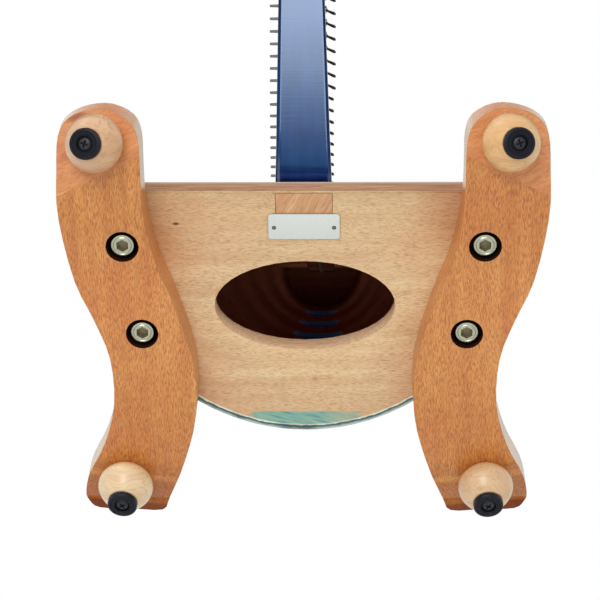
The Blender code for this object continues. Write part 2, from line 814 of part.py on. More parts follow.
def make_feet(floor_point, up):
    ends = (("front", toe_foot, toe_crease, toe_tilt, toe_heading),
            ("back", heel_foot, heel_crease, heel_tilt, heel_heading))
    for end, foot, crease, tilt, heading in ends:
        for side_name, side in (("left", -1), ("right", 1)):
            direction = foot_direction(tilt, heading, side)
            seat = foot_seat(foot, crease, direction, side)
            place = axis_matrix(seat, direction)
            shape = bmesh.new()
            turned(shape, bun_profile(), foot_sides)
            bun = add_object("foot_bun_%s_%s" % (end, side_name), shape, looks["maple"], place)
            shade(bun, 50)
            shape = bmesh.new()
            turned(shape, tip_profile(), foot_sides)
            turn_back = place.inverted()
            slice_off(shape, turn_back @ floor_point, (turn_back.to_3x3() @ -up).normalized())
            tip = add_object("foot_tip_%s_%s" % (end, side_name), shape, looks["rubber"], place)
            shade(tip, 30)


def make_nameplate():
    shape = bmesh.new()
    outline = rounded_rectangle(plate_width / 2, plate_depth / 2, plate_corner,
                                (0.0, plate_front_y + plate_depth / 2))
    prism(shape, outline, -fit_gap - plate_thickness, -fit_gap)
    add_object("nameplate", shape, looks["plate"])


def stand_up(floor_point, up):
    """Set the harp down: level the floor under it and centre it over the origin."""
    harp.matrix_world = Matrix.Rotation(atan(up.y / up.z), 4, 'X')
    bpy.context.view_layer.update()
    graph = bpy.context.evaluated_depsgraph_get()
    low_y = []
    for made in harp.children:
        if made.hide_render:
            continue
        mesh = made.evaluated_get(graph).to_mesh()
        low_y += [(made.matrix_world @ v.co).y for v in mesh.vertices]
    level = harp.matrix_world @ floor_point
    harp.location = (0.0, -(min(low_y) + max(low_y)) / 2, -level.z)
    bpy.context.view_layer.update()


for old in list(bpy.data.objects):
    bpy.data.objects.remove(old, do_unlink=True)

looks = {
    "board": material("pale_beech", (0.72, 0.55, 0.34), 0.55),
    "edging": material("brown_hardwood", (0.25, 0.11, 0.06), 0.5),
    "shell": material("blue_ply", (0.02, 0.10, 0.30), 0.25),
    "soundboard": material("spruce", (0.72, 0.52, 0.28), 0.4),
    "hardwood": material("plain_maple", (0.62, 0.45, 0.27), 0.6),
    "lacquer": material("blue_lacquer", (0.02, 0.07, 0.35), 0.12),
    "string": material("nylon_string", (0.80, 0.78, 0.70), 0.35),
    "lever": material("black_lever", (0.02, 0.02, 0.02), 0.4),
    "leg": material("orange_beech", (0.62, 0.32, 0.13), 0.45),
    "maple": material("turned_maple", (0.74, 0.55, 0.34), 0.35),
    "rubber": material("black_rubber", (0.015, 0.015, 0.02), 0.7),
    "steel": material("zinc_steel", (0.72, 0.72, 0.68), 0.3, 1.0),
    "plate": material("silver_plate", (0.80, 0.80, 0.80), 0.35, 0.6),
}

harp = bpy.data.objects.new("harp", None)
bpy.context.scene.collection.objects.link(harp)
strings = string_places()

make_bottom_board()
make_front_edging()
make_shell()
make_soundboard()
make_inner_strip()
make_base_block()
make_brace()
make_shoulder_block()
make_pillar()
make_neck()
make_strings()
make_levers()
make_leg("left_leg", -1)
make_leg("right_leg", 1)
make_bolts()
floor_point, up = settle()
make_feet(floor_point, up)
make_nameplate()
stand_up(floor_point, up)
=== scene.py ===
import json
from math import atan2, cos, hypot, pi, radians, sin

import bpy
from mathutils import Euler, Matrix, Vector


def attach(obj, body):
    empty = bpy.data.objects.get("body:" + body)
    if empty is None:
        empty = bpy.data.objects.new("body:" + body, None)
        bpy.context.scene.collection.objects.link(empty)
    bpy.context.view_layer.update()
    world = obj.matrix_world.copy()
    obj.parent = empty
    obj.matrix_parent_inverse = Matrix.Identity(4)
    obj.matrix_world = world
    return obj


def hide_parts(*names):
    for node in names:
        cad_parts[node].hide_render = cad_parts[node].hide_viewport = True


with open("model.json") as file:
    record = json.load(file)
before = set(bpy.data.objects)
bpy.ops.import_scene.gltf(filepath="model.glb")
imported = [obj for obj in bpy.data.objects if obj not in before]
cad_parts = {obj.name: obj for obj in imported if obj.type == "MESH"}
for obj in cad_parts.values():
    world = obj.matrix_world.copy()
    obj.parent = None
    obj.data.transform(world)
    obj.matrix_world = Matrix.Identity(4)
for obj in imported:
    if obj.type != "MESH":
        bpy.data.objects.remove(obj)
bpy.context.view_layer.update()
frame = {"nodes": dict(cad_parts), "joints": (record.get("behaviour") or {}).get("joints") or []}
nodes = frame["nodes"]
mm = 0.001
print("frame loaded:", len(nodes), "nodes")

# The harp is drawn square on its bottom board and stands tipped a little forward. Board places
# have their origin at the middle of the board's lower front edge, with y back and z up.
hinges = sorted(frame["joints"], key=lambda joint: joint["name"])
tipped = atan2(-hinges[0]["axis"][2], -hinges[0]["axis"][1])
lowestEdge = min((v.co for v in nodes["front_edging"].data.vertices), key=lambda p: p.z)
boardOrigin = Vector((0.0, lowestEdge.y, lowestEdge.z))
toWorld = Matrix.Translation(boardOrigin) @ Matrix.Rotation(tipped, 4, 'X')
toBoard = toWorld.inverted()


def between(low, high, share):
    return low + (high - low) * share


# node helpers

def addNode(tree, kind, inputs=None, **settings):
    node = tree.nodes.new(kind)
    for key, value in settings.items():
        setattr(node, key, value)
    for key, value in (inputs or {}).items():
        if isinstance(value, bpy.types.NodeSocket):
            tree.links.new(value, node.inputs[key])
        else:
            node.inputs[key].default_value = value
    return node


def newMaterial(name, roughness=0.5, metallic=0.0):
    material = bpy.data.materials.new(name)
    material.use_nodes = True
    shader = material.node_tree.nodes["Principled BSDF"]
    shader.inputs["Roughness"].default_value = roughness
    shader.inputs["Metallic"].default_value = metallic
    return material, material.node_tree, shader


def linear(red, green, blue):
    return tuple(((c / 255 + 0.055) / 1.055) ** 2.4 for c in (red, green, blue)) + (1.0,)


def ramp(tree, fac, stops):
    node = addNode(tree, 'ShaderNodeValToRGB', {"Fac": fac})
    elements = node.color_ramp.elements
    for element, (position, colour) in zip(elements, (stops[0], stops[-1])):
        element.position = position
        element.color = linear(*colour)
    for position, colour in stops[1:-1]:
        elements.new(position).color = linear(*colour)
    return node.outputs["Color"]


def blendColours(tree, fac, first, second, mode='MIX'):
    node = addNode(tree, 'ShaderNodeMix', {0: fac, 6: first, 7: second}, data_type='RGBA',
                   blend_type=mode)
    return node.outputs[2]


def sums(tree, operation, first, second, clamp=False):
    node = addNode(tree, 'ShaderNodeMath', {0: first, 1: second}, operation=operation,
                   use_clamp=clamp)
    return node.outputs[0]


def smoothStep(tree, value, start, end):
    node = addNode(tree, 'ShaderNodeMapRange', {"Value": value, "From Min": start,
                                                "From Max": end},
                   interpolation_type='SMOOTHSTEP')
    return node.outputs[0]


def mapped(tree, vector, location=(0, 0, 0), turn=(0, 0, 0), scale=(1, 1, 1)):
    node = addNode(tree, 'ShaderNodeMapping', {"Vector": vector, "Location": location,
                                               "Rotation": turn, "Scale": scale})
    return node.outputs[0]


def boardVector(tree):
    # board places in millimetres
    back = Euler((-tipped, 0, 0))
    start = boardOrigin * -1000
    start.rotate(back)
    place = addNode(tree, 'ShaderNodeTexCoord')
    return mapped(tree, place.outputs["Object"], start, back, (1000, 1000, 1000))


def noiseOf(tree, vector, scale=(1, 1, 1), detail=2.0, roughness=0.5):
    node = addNode(tree, 'ShaderNodeTexNoise', {
        "Vector": mapped(tree, vector, scale=scale), "Scale": 1.0, "Detail": detail,
        "Roughness": roughness})
    return node.outputs["Fac"]


def spot(tree, vector, at, size, edge=0.5):
    # 1 in an ellipse round a place, and 0 past its soft edge
    wide = tuple(1 / s for s in size)
    centre = tuple(-a / s for a, s in zip(at, size))
    near = addNode(tree, 'ShaderNodeVectorMath', {0: mapped(tree, vector, centre, scale=wide)},
                   operation='LENGTH')
    return sums(tree, 'SUBTRACT', 1.0, smoothStep(tree, near.outputs["Value"], edge, 1.0))


# grain group: the grain runs along the x of the vector it is given, which is in millimetres

def makeGrainGroup():
    group = bpy.data.node_groups.new("woodGrain", 'ShaderNodeTree')
    face = group.interface
    face.new_socket("Vector", in_out='INPUT', socket_type='NodeSocketVector')
    for name, value in (("Fleck Length", 4.0), ("Fleck Width", 0.7), ("Fleck Start", 0.62),
                        ("Wander", 2.0)):
        socket = face.new_socket(name, in_out='INPUT', socket_type='NodeSocketFloat')
        socket.default_value = value
    for name in ("Flecks", "Streaks", "Bands", "Cloud"):
        face.new_socket(name, in_out='OUTPUT', socket_type='NodeSocketFloat')
    given = group.nodes.new('NodeGroupInput')
    result = group.nodes.new('NodeGroupOutput')
    drift = addNode(group, 'ShaderNodeTexNoise', {
        "Vector": mapped(group, given.outputs["Vector"], scale=(0.03, 0.05, 0.05)),
        "Scale": 1.0, "Detail": 1.0})
    drift = addNode(group, 'ShaderNodeVectorMath', {0: drift.outputs["Color"],
                                                    1: (0.5, 0.5, 0.5)}, operation='SUBTRACT')
    reach = addNode(group, 'ShaderNodeCombineXYZ', {"Y": given.outputs["Wander"],
                                                    "Z": given.outputs["Wander"]})
    drift = addNode(group, 'ShaderNodeVectorMath', {0: drift.outputs[0], 1: reach.outputs[0]},
                    operation='MULTIPLY')
    place = addNode(group, 'ShaderNodeVectorMath', {0: given.outputs["Vector"],
                                                    1: drift.outputs[0]}).outputs[0]
    along = sums(group, 'DIVIDE', 1.0, given.outputs["Fleck Length"])
    across = sums(group, 'DIVIDE', 1.0, given.outputs["Fleck Width"])
    size = addNode(group, 'ShaderNodeCombineXYZ', {"X": along, "Y": across, "Z": across})
    fleckPlace = addNode(group, 'ShaderNodeVectorMath', {
        0: place, 1: size.outputs[0]}, operation='MULTIPLY')
    flecks = addNode(group, 'ShaderNodeMapRange', {
        "Value": noiseOf(group, fleckPlace.outputs[0], detail=2.0),
        "From Min": given.outputs["Fleck Start"],
        "From Max": sums(group, 'ADD', given.outputs["Fleck Start"], 0.14)})
    streaks = noiseOf(group, place, (0.025, 1.1, 1.1), 3.0, 0.6)
    bands = noiseOf(group, place, (0.006, 0.11, 0.11), 4.0, 0.6)
    cloud = noiseOf(group, given.outputs["Vector"], (0.016, 0.016, 0.016))
    for name, value in (("Flecks", flecks.outputs[0]), ("Streaks", streaks),
                        ("Bands", bands), ("Cloud", cloud)):
        group.links.new(value, result.inputs[name])
    return group


grainGroup = makeGrainGroup()


def woodColour(tree, vector, look):
    grain = addNode(tree, 'ShaderNodeGroup', {}, node_tree=grainGroup)
    tree.links.new(mapped(tree, vector, turn=look.get("turn", (0, 0, 0))),
                   grain.inputs["Vector"])
    for key, value in zip(("Fleck Length", "Fleck Width", "Fleck Start", "Wander"),
                          look["fleck"]):
        grain.inputs[key].default_value = value
    colour = ramp(tree, grain.outputs["Bands"], ((0.34, look["dark"]), (0.66, look["pale"])))
    streaks = smoothStep(tree, grain.outputs["Streaks"], 0.42, 0.7)
    amount = sums(tree, 'MULTIPLY', streaks, look["streak"])
    colour = blendColours(tree, amount, colour, linear(*look["fleckColour"]))
    colour = blendColours(tree, smoothStep(tree, grain.outputs["Cloud"], 0.35, 0.7), colour,
                          blendColours(tree, look["cloud"], colour, linear(*look["tint"])))
    amount = sums(tree, 'MULTIPLY', grain.outputs["Flecks"], look["fleckStrength"])
    return blendColours(tree, amount, colour, linear(*look["fleckColour"])), grain


def finishWood(tree, shader, colour, grain, look):
    tree.links.new(colour, shader.inputs["Base Color"])
    shader.inputs["Specular IOR Level"].default_value = look.get("shine", 0.5)
    bump = addNode(tree, 'ShaderNodeBump', {
        "Height": grain.outputs["Flecks"], "Strength": 0.12, "Distance": 0.0003})
    bump.invert = True
    tree.links.new(bump.outputs[0], shader.inputs["Normal"])
    shader.inputs["Coat Weight"].default_value = look.get("coat", 0.0)
    shader.inputs["Coat Roughness"].default_value = 0.25


def woodMaterial(name, look):
    material, tree, shader = newMaterial(name, look["roughness"])
    colour, grain = woodColour(tree, boardVector(tree), look)
    finishWood(tree, shader, colour, grain, look)
    return material


def legMaterial(name, look, paintedSheen=None):
    # painted shade darkens both ends, most of all on the heel's slope and end facet, which it also
    # makes redder; a painted highlight crosses the heel where its crease catches light
    material, tree, shader = newMaterial(name, look["roughness"])
    vector = boardVector(tree)
    colour, grain = woodColour(tree, vector, look)
    apart = addNode(tree, 'ShaderNodeSeparateXYZ', {0: vector})
    outward = sums(tree, 'SUBTRACT', sums(tree, 'ABSOLUTE', apart.outputs["X"], 0.0),
                   look["slantFrom"])
    back = sums(tree, 'ADD', apart.outputs["Y"], sums(tree, 'MULTIPLY', outward, look["slant"]))
    share = addNode(tree, 'ShaderNodeMapRange', {
        "Value": back, "From Min": look["shadeFrom"], "From Max": look["shadeTo"]}).outputs[0]
    colour = blendColours(tree, 1.0, colour, ramp(tree, share, look["paintedShadeAndHighlight"]), 'MULTIPLY')
    # painted sheen: the colour turns pale at grazing angles, a painted reflection of the white
    # backdrop in the lacquer
    if paintedSheen:
        facing = addNode(tree, 'ShaderNodeLayerWeight', {"Blend": 0.5}).outputs["Facing"]
        amount = smoothStep(tree, facing, 0.55, 0.85)
        if paintedSheen == "front":
            # the painted reflection fades out behind the front, where the board hides the white
            # backdrop from the rest of the inner side
            sight = sums(tree, 'ADD', apart.outputs["Y"],
                         sums(tree, 'MULTIPLY', apart.outputs["Z"], -0.43))
            amount = sums(tree, 'MULTIPLY', amount, smoothStep(tree, sight, 0.0, -5.0))
        colour = blendColours(tree, amount, colour, linear(*look["paintedSheen"]))
    finishWood(tree, shader, colour, grain, look)
    return material


def toeMaterial(name, look):
    material, tree, shader = newMaterial(name, look["roughness"])
    vector = boardVector(tree)
    colour, grain = woodColour(tree, vector, look)
    for at, size, strength in look["marks"]:
        mark = sums(tree, 'MULTIPLY', spot(tree, vector, at, size, 0.3), strength)
        colour = blendColours(tree, mark, colour, linear(*look["markColour"]))
    finishWood(tree, shader, colour, grain, look)
    return material


boardLook = {
    "roughness": 0.5, "fleck": (4.6, 0.55, 0.5, 9.0), "dark": (224, 186, 139),
    "pale": (241, 212, 165), "streak": 0.15, "tint": (234, 186, 142), "cloud": 0.35,
    "fleckColour": (166, 120, 76), "fleckStrength": 0.52,
    "pink": (214, 160, 118), "pinkStart": 66, "pinkEnd": 122, "pinkStrength": 0.55,
    "backStart": 128, "backEnd": 172, "backStrength": 0.12, "frontShade": (238, 236, 232),
    "knots": (((-88.9, 24.9, 0), (3.4, 1.6, 40), 0.95), ((7.2, 147.5, 0), (3.0, 2.6, 40), 0.3)),
    "knotColour": (92, 52, 28),
    "stainHalf": 38.5, "stainFront": 174.6, "stainStops": ((0.3, (156, 198, 162)),
                                                          (0.5, (124, 184, 168)),
                                                          (0.68, (66, 140, 158)))}
legLook = {
    "roughness": 0.4, "turn": (0, 0, radians(90)), "fleck": (4.2, 0.48, 0.46, 6.0),
    "dark": (214, 138, 70), "pale": (236, 167, 90), "streak": 0.15, "tint": (214, 126, 62),
    "cloud": 0.5, "fleckColour": (160, 84, 36), "fleckStrength": 0.72, "coat": 0.3,
    "shadeFrom": -65.0, "shadeTo": 255.0, "slant": 0.1, "slantFrom": 100.0,
    # painted shade along the leg, with a painted highlight band from 0.872 to 0.881 across the heel's
    # crease
    "paintedShadeAndHighlight": ((0.0, (242, 236, 223)), (0.27, (244, 239, 226)), (0.39, (255, 255, 252)),
               (0.61, (255, 255, 250)), (0.7, (248, 246, 229)), (0.828, (245, 241, 225)),
               (0.847, (230, 220, 200)), (0.866, (230, 220, 202)), (0.872, (248, 252, 234)),
               (0.881, (248, 250, 232)), (0.889, (216, 198, 168)), (0.96, (212, 190, 160)),
               (0.968, (172, 134, 108)), (1.0, (158, 116, 90))),
    # colour of the painted sheen
    "paintedSheen": (255, 238, 218)}
toeEndLook = {
    "roughness": 0.5, "turn": (0, 0, radians(25)), "fleck": (12.0, 1.3, 0.48, 14.0),
    "dark": (214, 138, 80), "pale": (232, 168, 108), "streak": 0.3, "tint": (206, 118, 70),
    "cloud": 0.5, "fleckColour": (176, 100, 54), "fleckStrength": 0.4, "coat": 0.3,
    "marks": (((-154, -60, -18), (13, 7, 40), 0.75), ((-160, -34, -22), (5, 4, 40), 0.3)),
    "markColour": (150, 72, 44)}
bunLook = {
    "roughness": 0.35, "fleck": (45.0, 2.0, 0.51, 24.0), "streak": 0.1, "cloud": 0.3,
    "fleckStrength": 0.38, "coat": 0.4}
bunColours = {
    "frontLeft": {"dark": (204, 158, 114), "pale": (226, 183, 141), "tint": (210, 165, 121),
                  "fleckColour": (170, 123, 85)},
    "frontRight": {"dark": (216, 166, 107), "pale": (238, 192, 131), "tint": (222, 174, 114),
                   "fleckColour": (184, 133, 82)},
    "backLeft": {"dark": (224, 191, 147), "pale": (240, 215, 173), "tint": (222, 189, 145),
                 "fleckColour": (191, 148, 104)},
    "backRight": {"dark": (211, 171, 126), "pale": (228, 194, 150), "tint": (210, 170, 125),
                  "fleckColour": (180, 132, 90)}}
edgingLook = {
    "roughness": 0.55, "fleck": (36.0, 0.8, 0.47, 3.0), "dark": (168, 118, 78),
    "pale": (206, 162, 118), "streak": 0.35, "tint": (184, 128, 90), "cloud": 0.4,
    "fleckColour": (116, 72, 44), "fleckStrength": 0.62, "paintedTopHighlight": (196, 170, 140),
    "stripFrom": 12.2, "stripTo": 13.0, "lineUnder": 0.5}
spruceLook = {
    "roughness": 0.45, "turn": (0, radians(90), 0), "fleck": (60.0, 0.7, 0.52, 1.0),
    "dark": (214, 172, 116), "pale": (236, 204, 152), "streak": 0.3, "tint": (224, 184, 130),
    "cloud": 0.3, "fleckColour": (186, 138, 86), "fleckStrength": 0.35, "coat": 0.4}
ribLook = {
    "roughness": 0.4, "turn": (0, radians(90), 0), "fleck": (7.0, 0.6, 0.55, 1.0),
    "dark": (120, 66, 38), "pale": (160, 96, 58), "streak": 0.3, "tint": (130, 76, 46),
    "cloud": 0.3, "fleckColour": (76, 38, 20), "fleckStrength": 0.5, "coat": 0.3}
# paler than the board it is cut from: painted light making up for the dim light on the access hole's
# wall
holeWallLook = {
    "roughness": 0.7, "fleck": (9.0, 0.9, 0.5, 3.0), "dark": (238, 194, 152),
    "pale": (250, 218, 176), "streak": 0.4, "tint": (240, 192, 152), "cloud": 0.3,
    "fleckColour": (180, 136, 104), "fleckStrength": 0.5}
tenonLook = {
    "roughness": 0.6, "turn": (0, 0, radians(62)), "fleck": (9.0, 0.8, 0.52, 3.0),
    "dark": (204, 152, 106), "pale": (230, 184, 136), "streak": 0.4, "tint": (222, 158, 114),
    "cloud": 0.4, "fleckColour": (156, 104, 64), "fleckStrength": 0.4}
insideLook = {
    "roughness": 0.95, "fleck": (8.0, 0.8, 0.55, 3.0), "dark": (176, 108, 86),
    "pale": (194, 128, 102), "streak": 0.1, "tint": (180, 116, 90), "cloud": 0.3,
    "fleckColour": (150, 92, 70), "fleckStrength": 0.15, "shine": 0.0}
stripLook = {**insideLook, "dark": (112, 66, 52), "pale": (130, 80, 62), "tint": (112, 66, 50),
             "fleckColour": (90, 52, 40)}


def boardMaterial(look):
    material, tree, shader = newMaterial("paleBeech", look["roughness"])
    vector = boardVector(tree)
    colour, grain = woodColour(tree, vector, look)
    apart = addNode(tree, 'ShaderNodeSeparateXYZ', {0: vector})
    across = sums(tree, 'ABSOLUTE', apart.outputs["X"], 0.0)
    uneven = sums(tree, 'MULTIPLY', sums(tree, 'SUBTRACT', grain.outputs["Cloud"], 0.5), 90.0)
    side = smoothStep(tree, sums(tree, 'ADD', across, uneven), look["pinkStart"],
                      look["pinkEnd"])
    back = smoothStep(tree, sums(tree, 'ADD', apart.outputs["Y"], uneven), look["backStart"],
                      look["backEnd"])
    pinker = sums(tree, 'MAXIMUM', sums(tree, 'MULTIPLY', side, look["pinkStrength"]),
                  sums(tree, 'MULTIPLY', back, look["backStrength"]))
    colour = blendColours(tree, pinker, colour, linear(*look["pink"]), 'MULTIPLY')
    front = smoothStep(tree, apart.outputs["Y"], 30.0, 4.0)
    colour = blendColours(tree, front, colour, linear(*look["frontShade"]), 'MULTIPLY')
    for at, size, strength in look["knots"]:
        mark = sums(tree, 'MULTIPLY', spot(tree, vector, at, size, 0.3), strength)
        colour = blendColours(tree, mark, colour, linear(*look["knotColour"]))
    wander = sums(tree, 'MULTIPLY', noiseOf(tree, vector, (0.15, 0.8, 0.8)), 3.0)
    front = smoothStep(tree, sums(tree, 'ADD', apart.outputs["Y"], wander),
                       look["stainFront"] + 1.2, look["stainFront"] + 2.0)
    ends = smoothStep(tree, sums(tree, 'ADD', across, wander), look["stainHalf"] + 2.6,
                      look["stainHalf"] + 0.6)
    strokes = noiseOf(tree, mapped(tree, vector, turn=(0, 0, radians(-14))), (0.05, 0.5, 0.5), 3.0)
    stain = ramp(tree, strokes, look["stainStops"])
    thin = sums(tree, 'MULTIPLY', smoothStep(tree, apart.outputs["X"], 5, 36), 0.3)
    amount = sums(tree, 'MULTIPLY', sums(tree, 'MULTIPLY', front, ends),
                  sums(tree, 'SUBTRACT', 0.92, thin))
    finishWood(tree, shader, blendColours(tree, amount, colour, stain), grain, look)
    return material


def edgingMaterial(look):
    # brown layers lying flat, a paler strip along the top that is a painted highlight of the rounded
    # top edge, and a dark glue line below
    material, tree, shader = newMaterial("brownEdging", look["roughness"])
    vector = boardVector(tree)
    colour, grain = woodColour(tree, vector, look)
    height = addNode(tree, 'ShaderNodeSeparateXYZ', {0: vector}).outputs["Z"]
    # painted highlight along the rounded top edge
    top = smoothStep(tree, height, look["stripFrom"], look["stripTo"])
    colour = blendColours(tree, top, colour, linear(*look["paintedTopHighlight"]))
    low = smoothStep(tree, height, look["lineUnder"], look["lineUnder"] * 0.5)
    colour = blendColours(tree, low, colour, linear(*look["fleckColour"]))
    finishWood(tree, shader, colour, grain, look)
    return material


def lacquerMaterial(name, look):
    material, tree, shader = newMaterial(name, look["roughness"])
    vector = boardVector(tree)
    grain = addNode(tree, 'ShaderNodeGroup', node_tree=grainGroup)
    tree.links.new(mapped(tree, vector, turn=(0, radians(90), 0)), grain.inputs["Vector"])
    colour = ramp(tree, grain.outputs["Bands"], ((0.3, look["dark"]), (0.7, look["pale"])))
    streaks = sums(tree, 'MULTIPLY', smoothStep(tree, grain.outputs["Streaks"], 0.45, 0.75),
                   0.12)
    colour = blendColours(tree, streaks, colour, linear(*look["dark"]))
    if "paintedFootShade" in look:
        # painted shade: the pillar's colour darkens toward its foot, with a less shaded line across it
        height = addNode(tree, 'ShaderNodeSeparateXYZ', {0: vector}).outputs["Z"]
        uneven = sums(tree, 'MULTIPLY', noiseOf(tree, vector, (0.05, 0.05, 0.2)), 8.0)
        share = addNode(tree, 'ShaderNodeMapRange', {
            "Value": sums(tree, 'ADD', height, uneven), "From Min": 15.0,
            "From Max": 55.0}).outputs[0]
        shade = ramp(tree, share, look["paintedFootShade"])
        colour = blendColours(tree, 1.0, colour, shade, 'MULTIPLY')
    waves = addNode(tree, 'ShaderNodeBump', {
        "Height": noiseOf(tree, vector, (0.012, 0.012, 0.3), 3.0), "Strength": 1.0,
        "Distance": look["waves"]})
    tree.links.new(waves.outputs[0], shader.inputs["Coat Normal"])
    tree.links.new(colour, shader.inputs["Base Color"])
    shader.inputs["Specular IOR Level"].default_value = 0.0
    shader.inputs["Coat Weight"].default_value = look["coat"]
    shader.inputs["Coat Roughness"].default_value = look["coatRoughness"]
    return material


pillarLook = {"roughness": 0.4, "dark": (22, 48, 92), "pale": (34, 68, 120), "coat": 1.0,
              "coatRoughness": 0.06, "waves": 0.00004,
              # painted shade at the pillar's foot
              "paintedFootShade": ((0.0, (96, 84, 104)), (0.2, (122, 112, 138)),
                            (0.3, (176, 164, 196)), (0.42, (250, 228, 255)),
                            (0.52, (178, 170, 204)), (0.7, (184, 180, 210)),
                            (0.88, (255, 255, 255)))}
shellLook = {"roughness": 0.4, "dark": (14, 46, 92), "pale": (30, 74, 128), "coat": 1.0,
             "coatRoughness": 0.08, "waves": 0.00001}


def speckledMaterial(name, dark, pale, roughness, metallic=0.0, scale=1500.0,
                     bumpHeight=0.0001, shine=0.5):
    material, tree, shader = newMaterial(name, roughness, metallic)
    shader.inputs["Specular IOR Level"].default_value = shine
    place = addNode(tree, 'ShaderNodeTexCoord')
    noise = addNode(tree, 'ShaderNodeTexNoise', {
        "Vector": place.outputs["Object"], "Scale": scale, "Detail": 3.0})
    base = ramp(tree, noise.outputs["Fac"], ((0.35, dark), (0.65, pale)))
    tree.links.new(base, shader.inputs["Base Color"])
    bump = addNode(tree, 'ShaderNodeBump', {
        "Height": noise.outputs["Fac"], "Strength": 0.3, "Distance": bumpHeight})
    tree.links.new(bump.outputs[0], shader.inputs["Normal"])
    return material


shellRim = {"halfWidth": 157.0, "depth": 183.7, "centreY": 6.3, "innerShare": 0.9745,
            "layers": ((0.0, (190, 160, 120)), (0.06, (255, 252, 230)), (0.36, (255, 250, 222)),
                       (0.44, (58, 84, 84)), (0.52, (52, 96, 104)), (0.66, (84, 130, 140)),
                       (0.76, (152, 172, 166)), (0.9, (198, 206, 194)), (1.0, (150, 164, 156)))}


def shellRimMaterial(rim):
    # thin layers that follow the half ellipse of the shell's lower edge, stained unevenly
    material, tree, shader = newMaterial("shellLayers", 0.55)
    vector = boardVector(tree)
    flat = mapped(tree, vector, (0, -rim["centreY"] / rim["depth"], 0),
                  scale=(1 / rim["halfWidth"], 1 / rim["depth"], 0))
    reach = addNode(tree, 'ShaderNodeVectorMath', {0: flat}, operation='LENGTH').outputs["Value"]
    layer = addNode(tree, 'ShaderNodeMapRange', {"Value": reach, "From Min": rim["innerShare"],
                                                 "From Max": 1.0}).outputs[0]
    uneven = sums(tree, 'MULTIPLY', sums(tree, 'SUBTRACT', noiseOf(
        tree, vector, (0.16, 0.16, 0.16), 3.0), 0.5), 0.45)
    uneven = sums(tree, 'MULTIPLY', uneven, smoothStep(tree, layer, 0.1, 0.4))
    colour = ramp(tree, sums(tree, 'ADD', layer, uneven, True), rim["layers"])
    stains = smoothStep(tree, noiseOf(tree, vector, (0.05, 0.05, 0.05), 3.0), 0.46, 0.66)
    stains = sums(tree, 'MULTIPLY', stains, smoothStep(tree, layer, 0.28, 0.36))
    colour = blendColours(tree, sums(tree, 'MULTIPLY', stains, 0.6), colour,
                          linear(24, 48, 66))
    tree.links.new(colour, shader.inputs["Base Color"])
    return material


def woundMaterial():
    material, tree, shader = newMaterial("woundString", 0.35, 1.0)
    height = addNode(tree, 'ShaderNodeSeparateXYZ', {0: boardVector(tree)}).outputs["Z"]
    turns = sums(tree, 'SINE', sums(tree, 'MULTIPLY', height, 2 * pi / 0.5), 0.0)
    share = smoothStep(tree, turns, -1.0, 1.0)
    tree.links.new(ramp(tree, share, ((0.0, (120, 108, 92)), (1.0, (206, 192, 168)))),
                   shader.inputs["Base Color"])
    return material


looks = {
    "board": boardMaterial(boardLook),
    "edging": edgingMaterial(edgingLook),
    "leg": legMaterial("orangeBeech", legLook),
    "legOuter": legMaterial("orangeBeechOuterPaintedSheen", legLook, "all"),
    "legInner": legMaterial("orangeBeechInnerPaintedSheen", legLook, "front"),
    "heelEnd": legMaterial("orangeBeechHeel", {**legLook, "coat": 0.0, "shine": 0.05}),
    "toeEnd": toeMaterial("toeEndBeech", toeEndLook),
    "spruce": woodMaterial("spruceFront", spruceLook),
    "rib": woodMaterial("ribHardwood", ribLook),
    "holeWall": woodMaterial("holeWallBeechPaintedLight", holeWallLook),
    "tenonEnd": woodMaterial("tenonEndGrain", tenonLook),
    "inside": woodMaterial("darkInside", insideLook),
    "strip": woodMaterial("darkStrip", stripLook),
    "lacquer": lacquerMaterial("blueLacquer", pillarLook),
    "shell": lacquerMaterial("shellLacquer", shellLook),
    "shellRim": shellRimMaterial(shellRim),
    "rubber": speckledMaterial("blackRubber", (8, 10, 18), (22, 24, 36), 0.45, shine=0.22),
    "plastic": speckledMaterial("leverPlastic", (14, 14, 15), (28, 28, 30), 0.35),
    "keySteel": speckledMaterial("dullKeySteel", (104, 106, 106), (138, 140, 138), 0.4, 0.9),
    "steel": speckledMaterial("polishedSteel", (186, 186, 182), (214, 214, 210), 0.22, 1.0),
    "zinc": speckledMaterial("zincSteel", (166, 168, 146), (194, 196, 173), 0.34, 1.0),
    "socket": speckledMaterial("oiledSocket", (122, 114, 86), (164, 154, 122), 0.45, 0.5),
    "brass": speckledMaterial("brassEyelet", (170, 130, 66), (206, 168, 96), 0.3, 1.0),
    "blackSteel": speckledMaterial("blackScrew", (30, 30, 34), (60, 60, 66), 0.4, 0.6),
    "plate": speckledMaterial("silverPlate", (210, 216, 211), (224, 229, 224), 0.4, 0.1),
    # darker: painted shade for the plate's edges
    "plateEdgePaintedShade": speckledMaterial("plateEdgePaintedShade", (112, 124, 112), (146, 158, 146), 0.4, 0.4),
    "plateScrew": speckledMaterial("plateScrew", (70, 76, 70), (112, 116, 108), 0.4, 0.6),
    # near black: painted shade for the counterbores' narrow gaps round the bolt heads
    "boltHole": speckledMaterial("boltHolePaintedShade", (34, 15, 9), (52, 27, 17), 0.8, shine=0.1),
    "clearString": speckledMaterial("clearNylon", (226, 222, 208), (240, 236, 224), 0.3),
    "redString": speckledMaterial("redNylon", (170, 24, 26), (196, 38, 36), 0.3),
    "blackString": speckledMaterial("blackNylon", (16, 18, 30), (30, 32, 46), 0.3),
    "woundString": woundMaterial(),
    "knot": speckledMaterial("knotString", (96, 80, 70), (124, 106, 94), 0.7),
    # near black: painted shade on the sound holes' walls
    "soundHole": speckledMaterial("soundHoleWallPaintedShade", (10, 18, 38), (16, 28, 54), 0.8,
                                  shine=0.1),
}
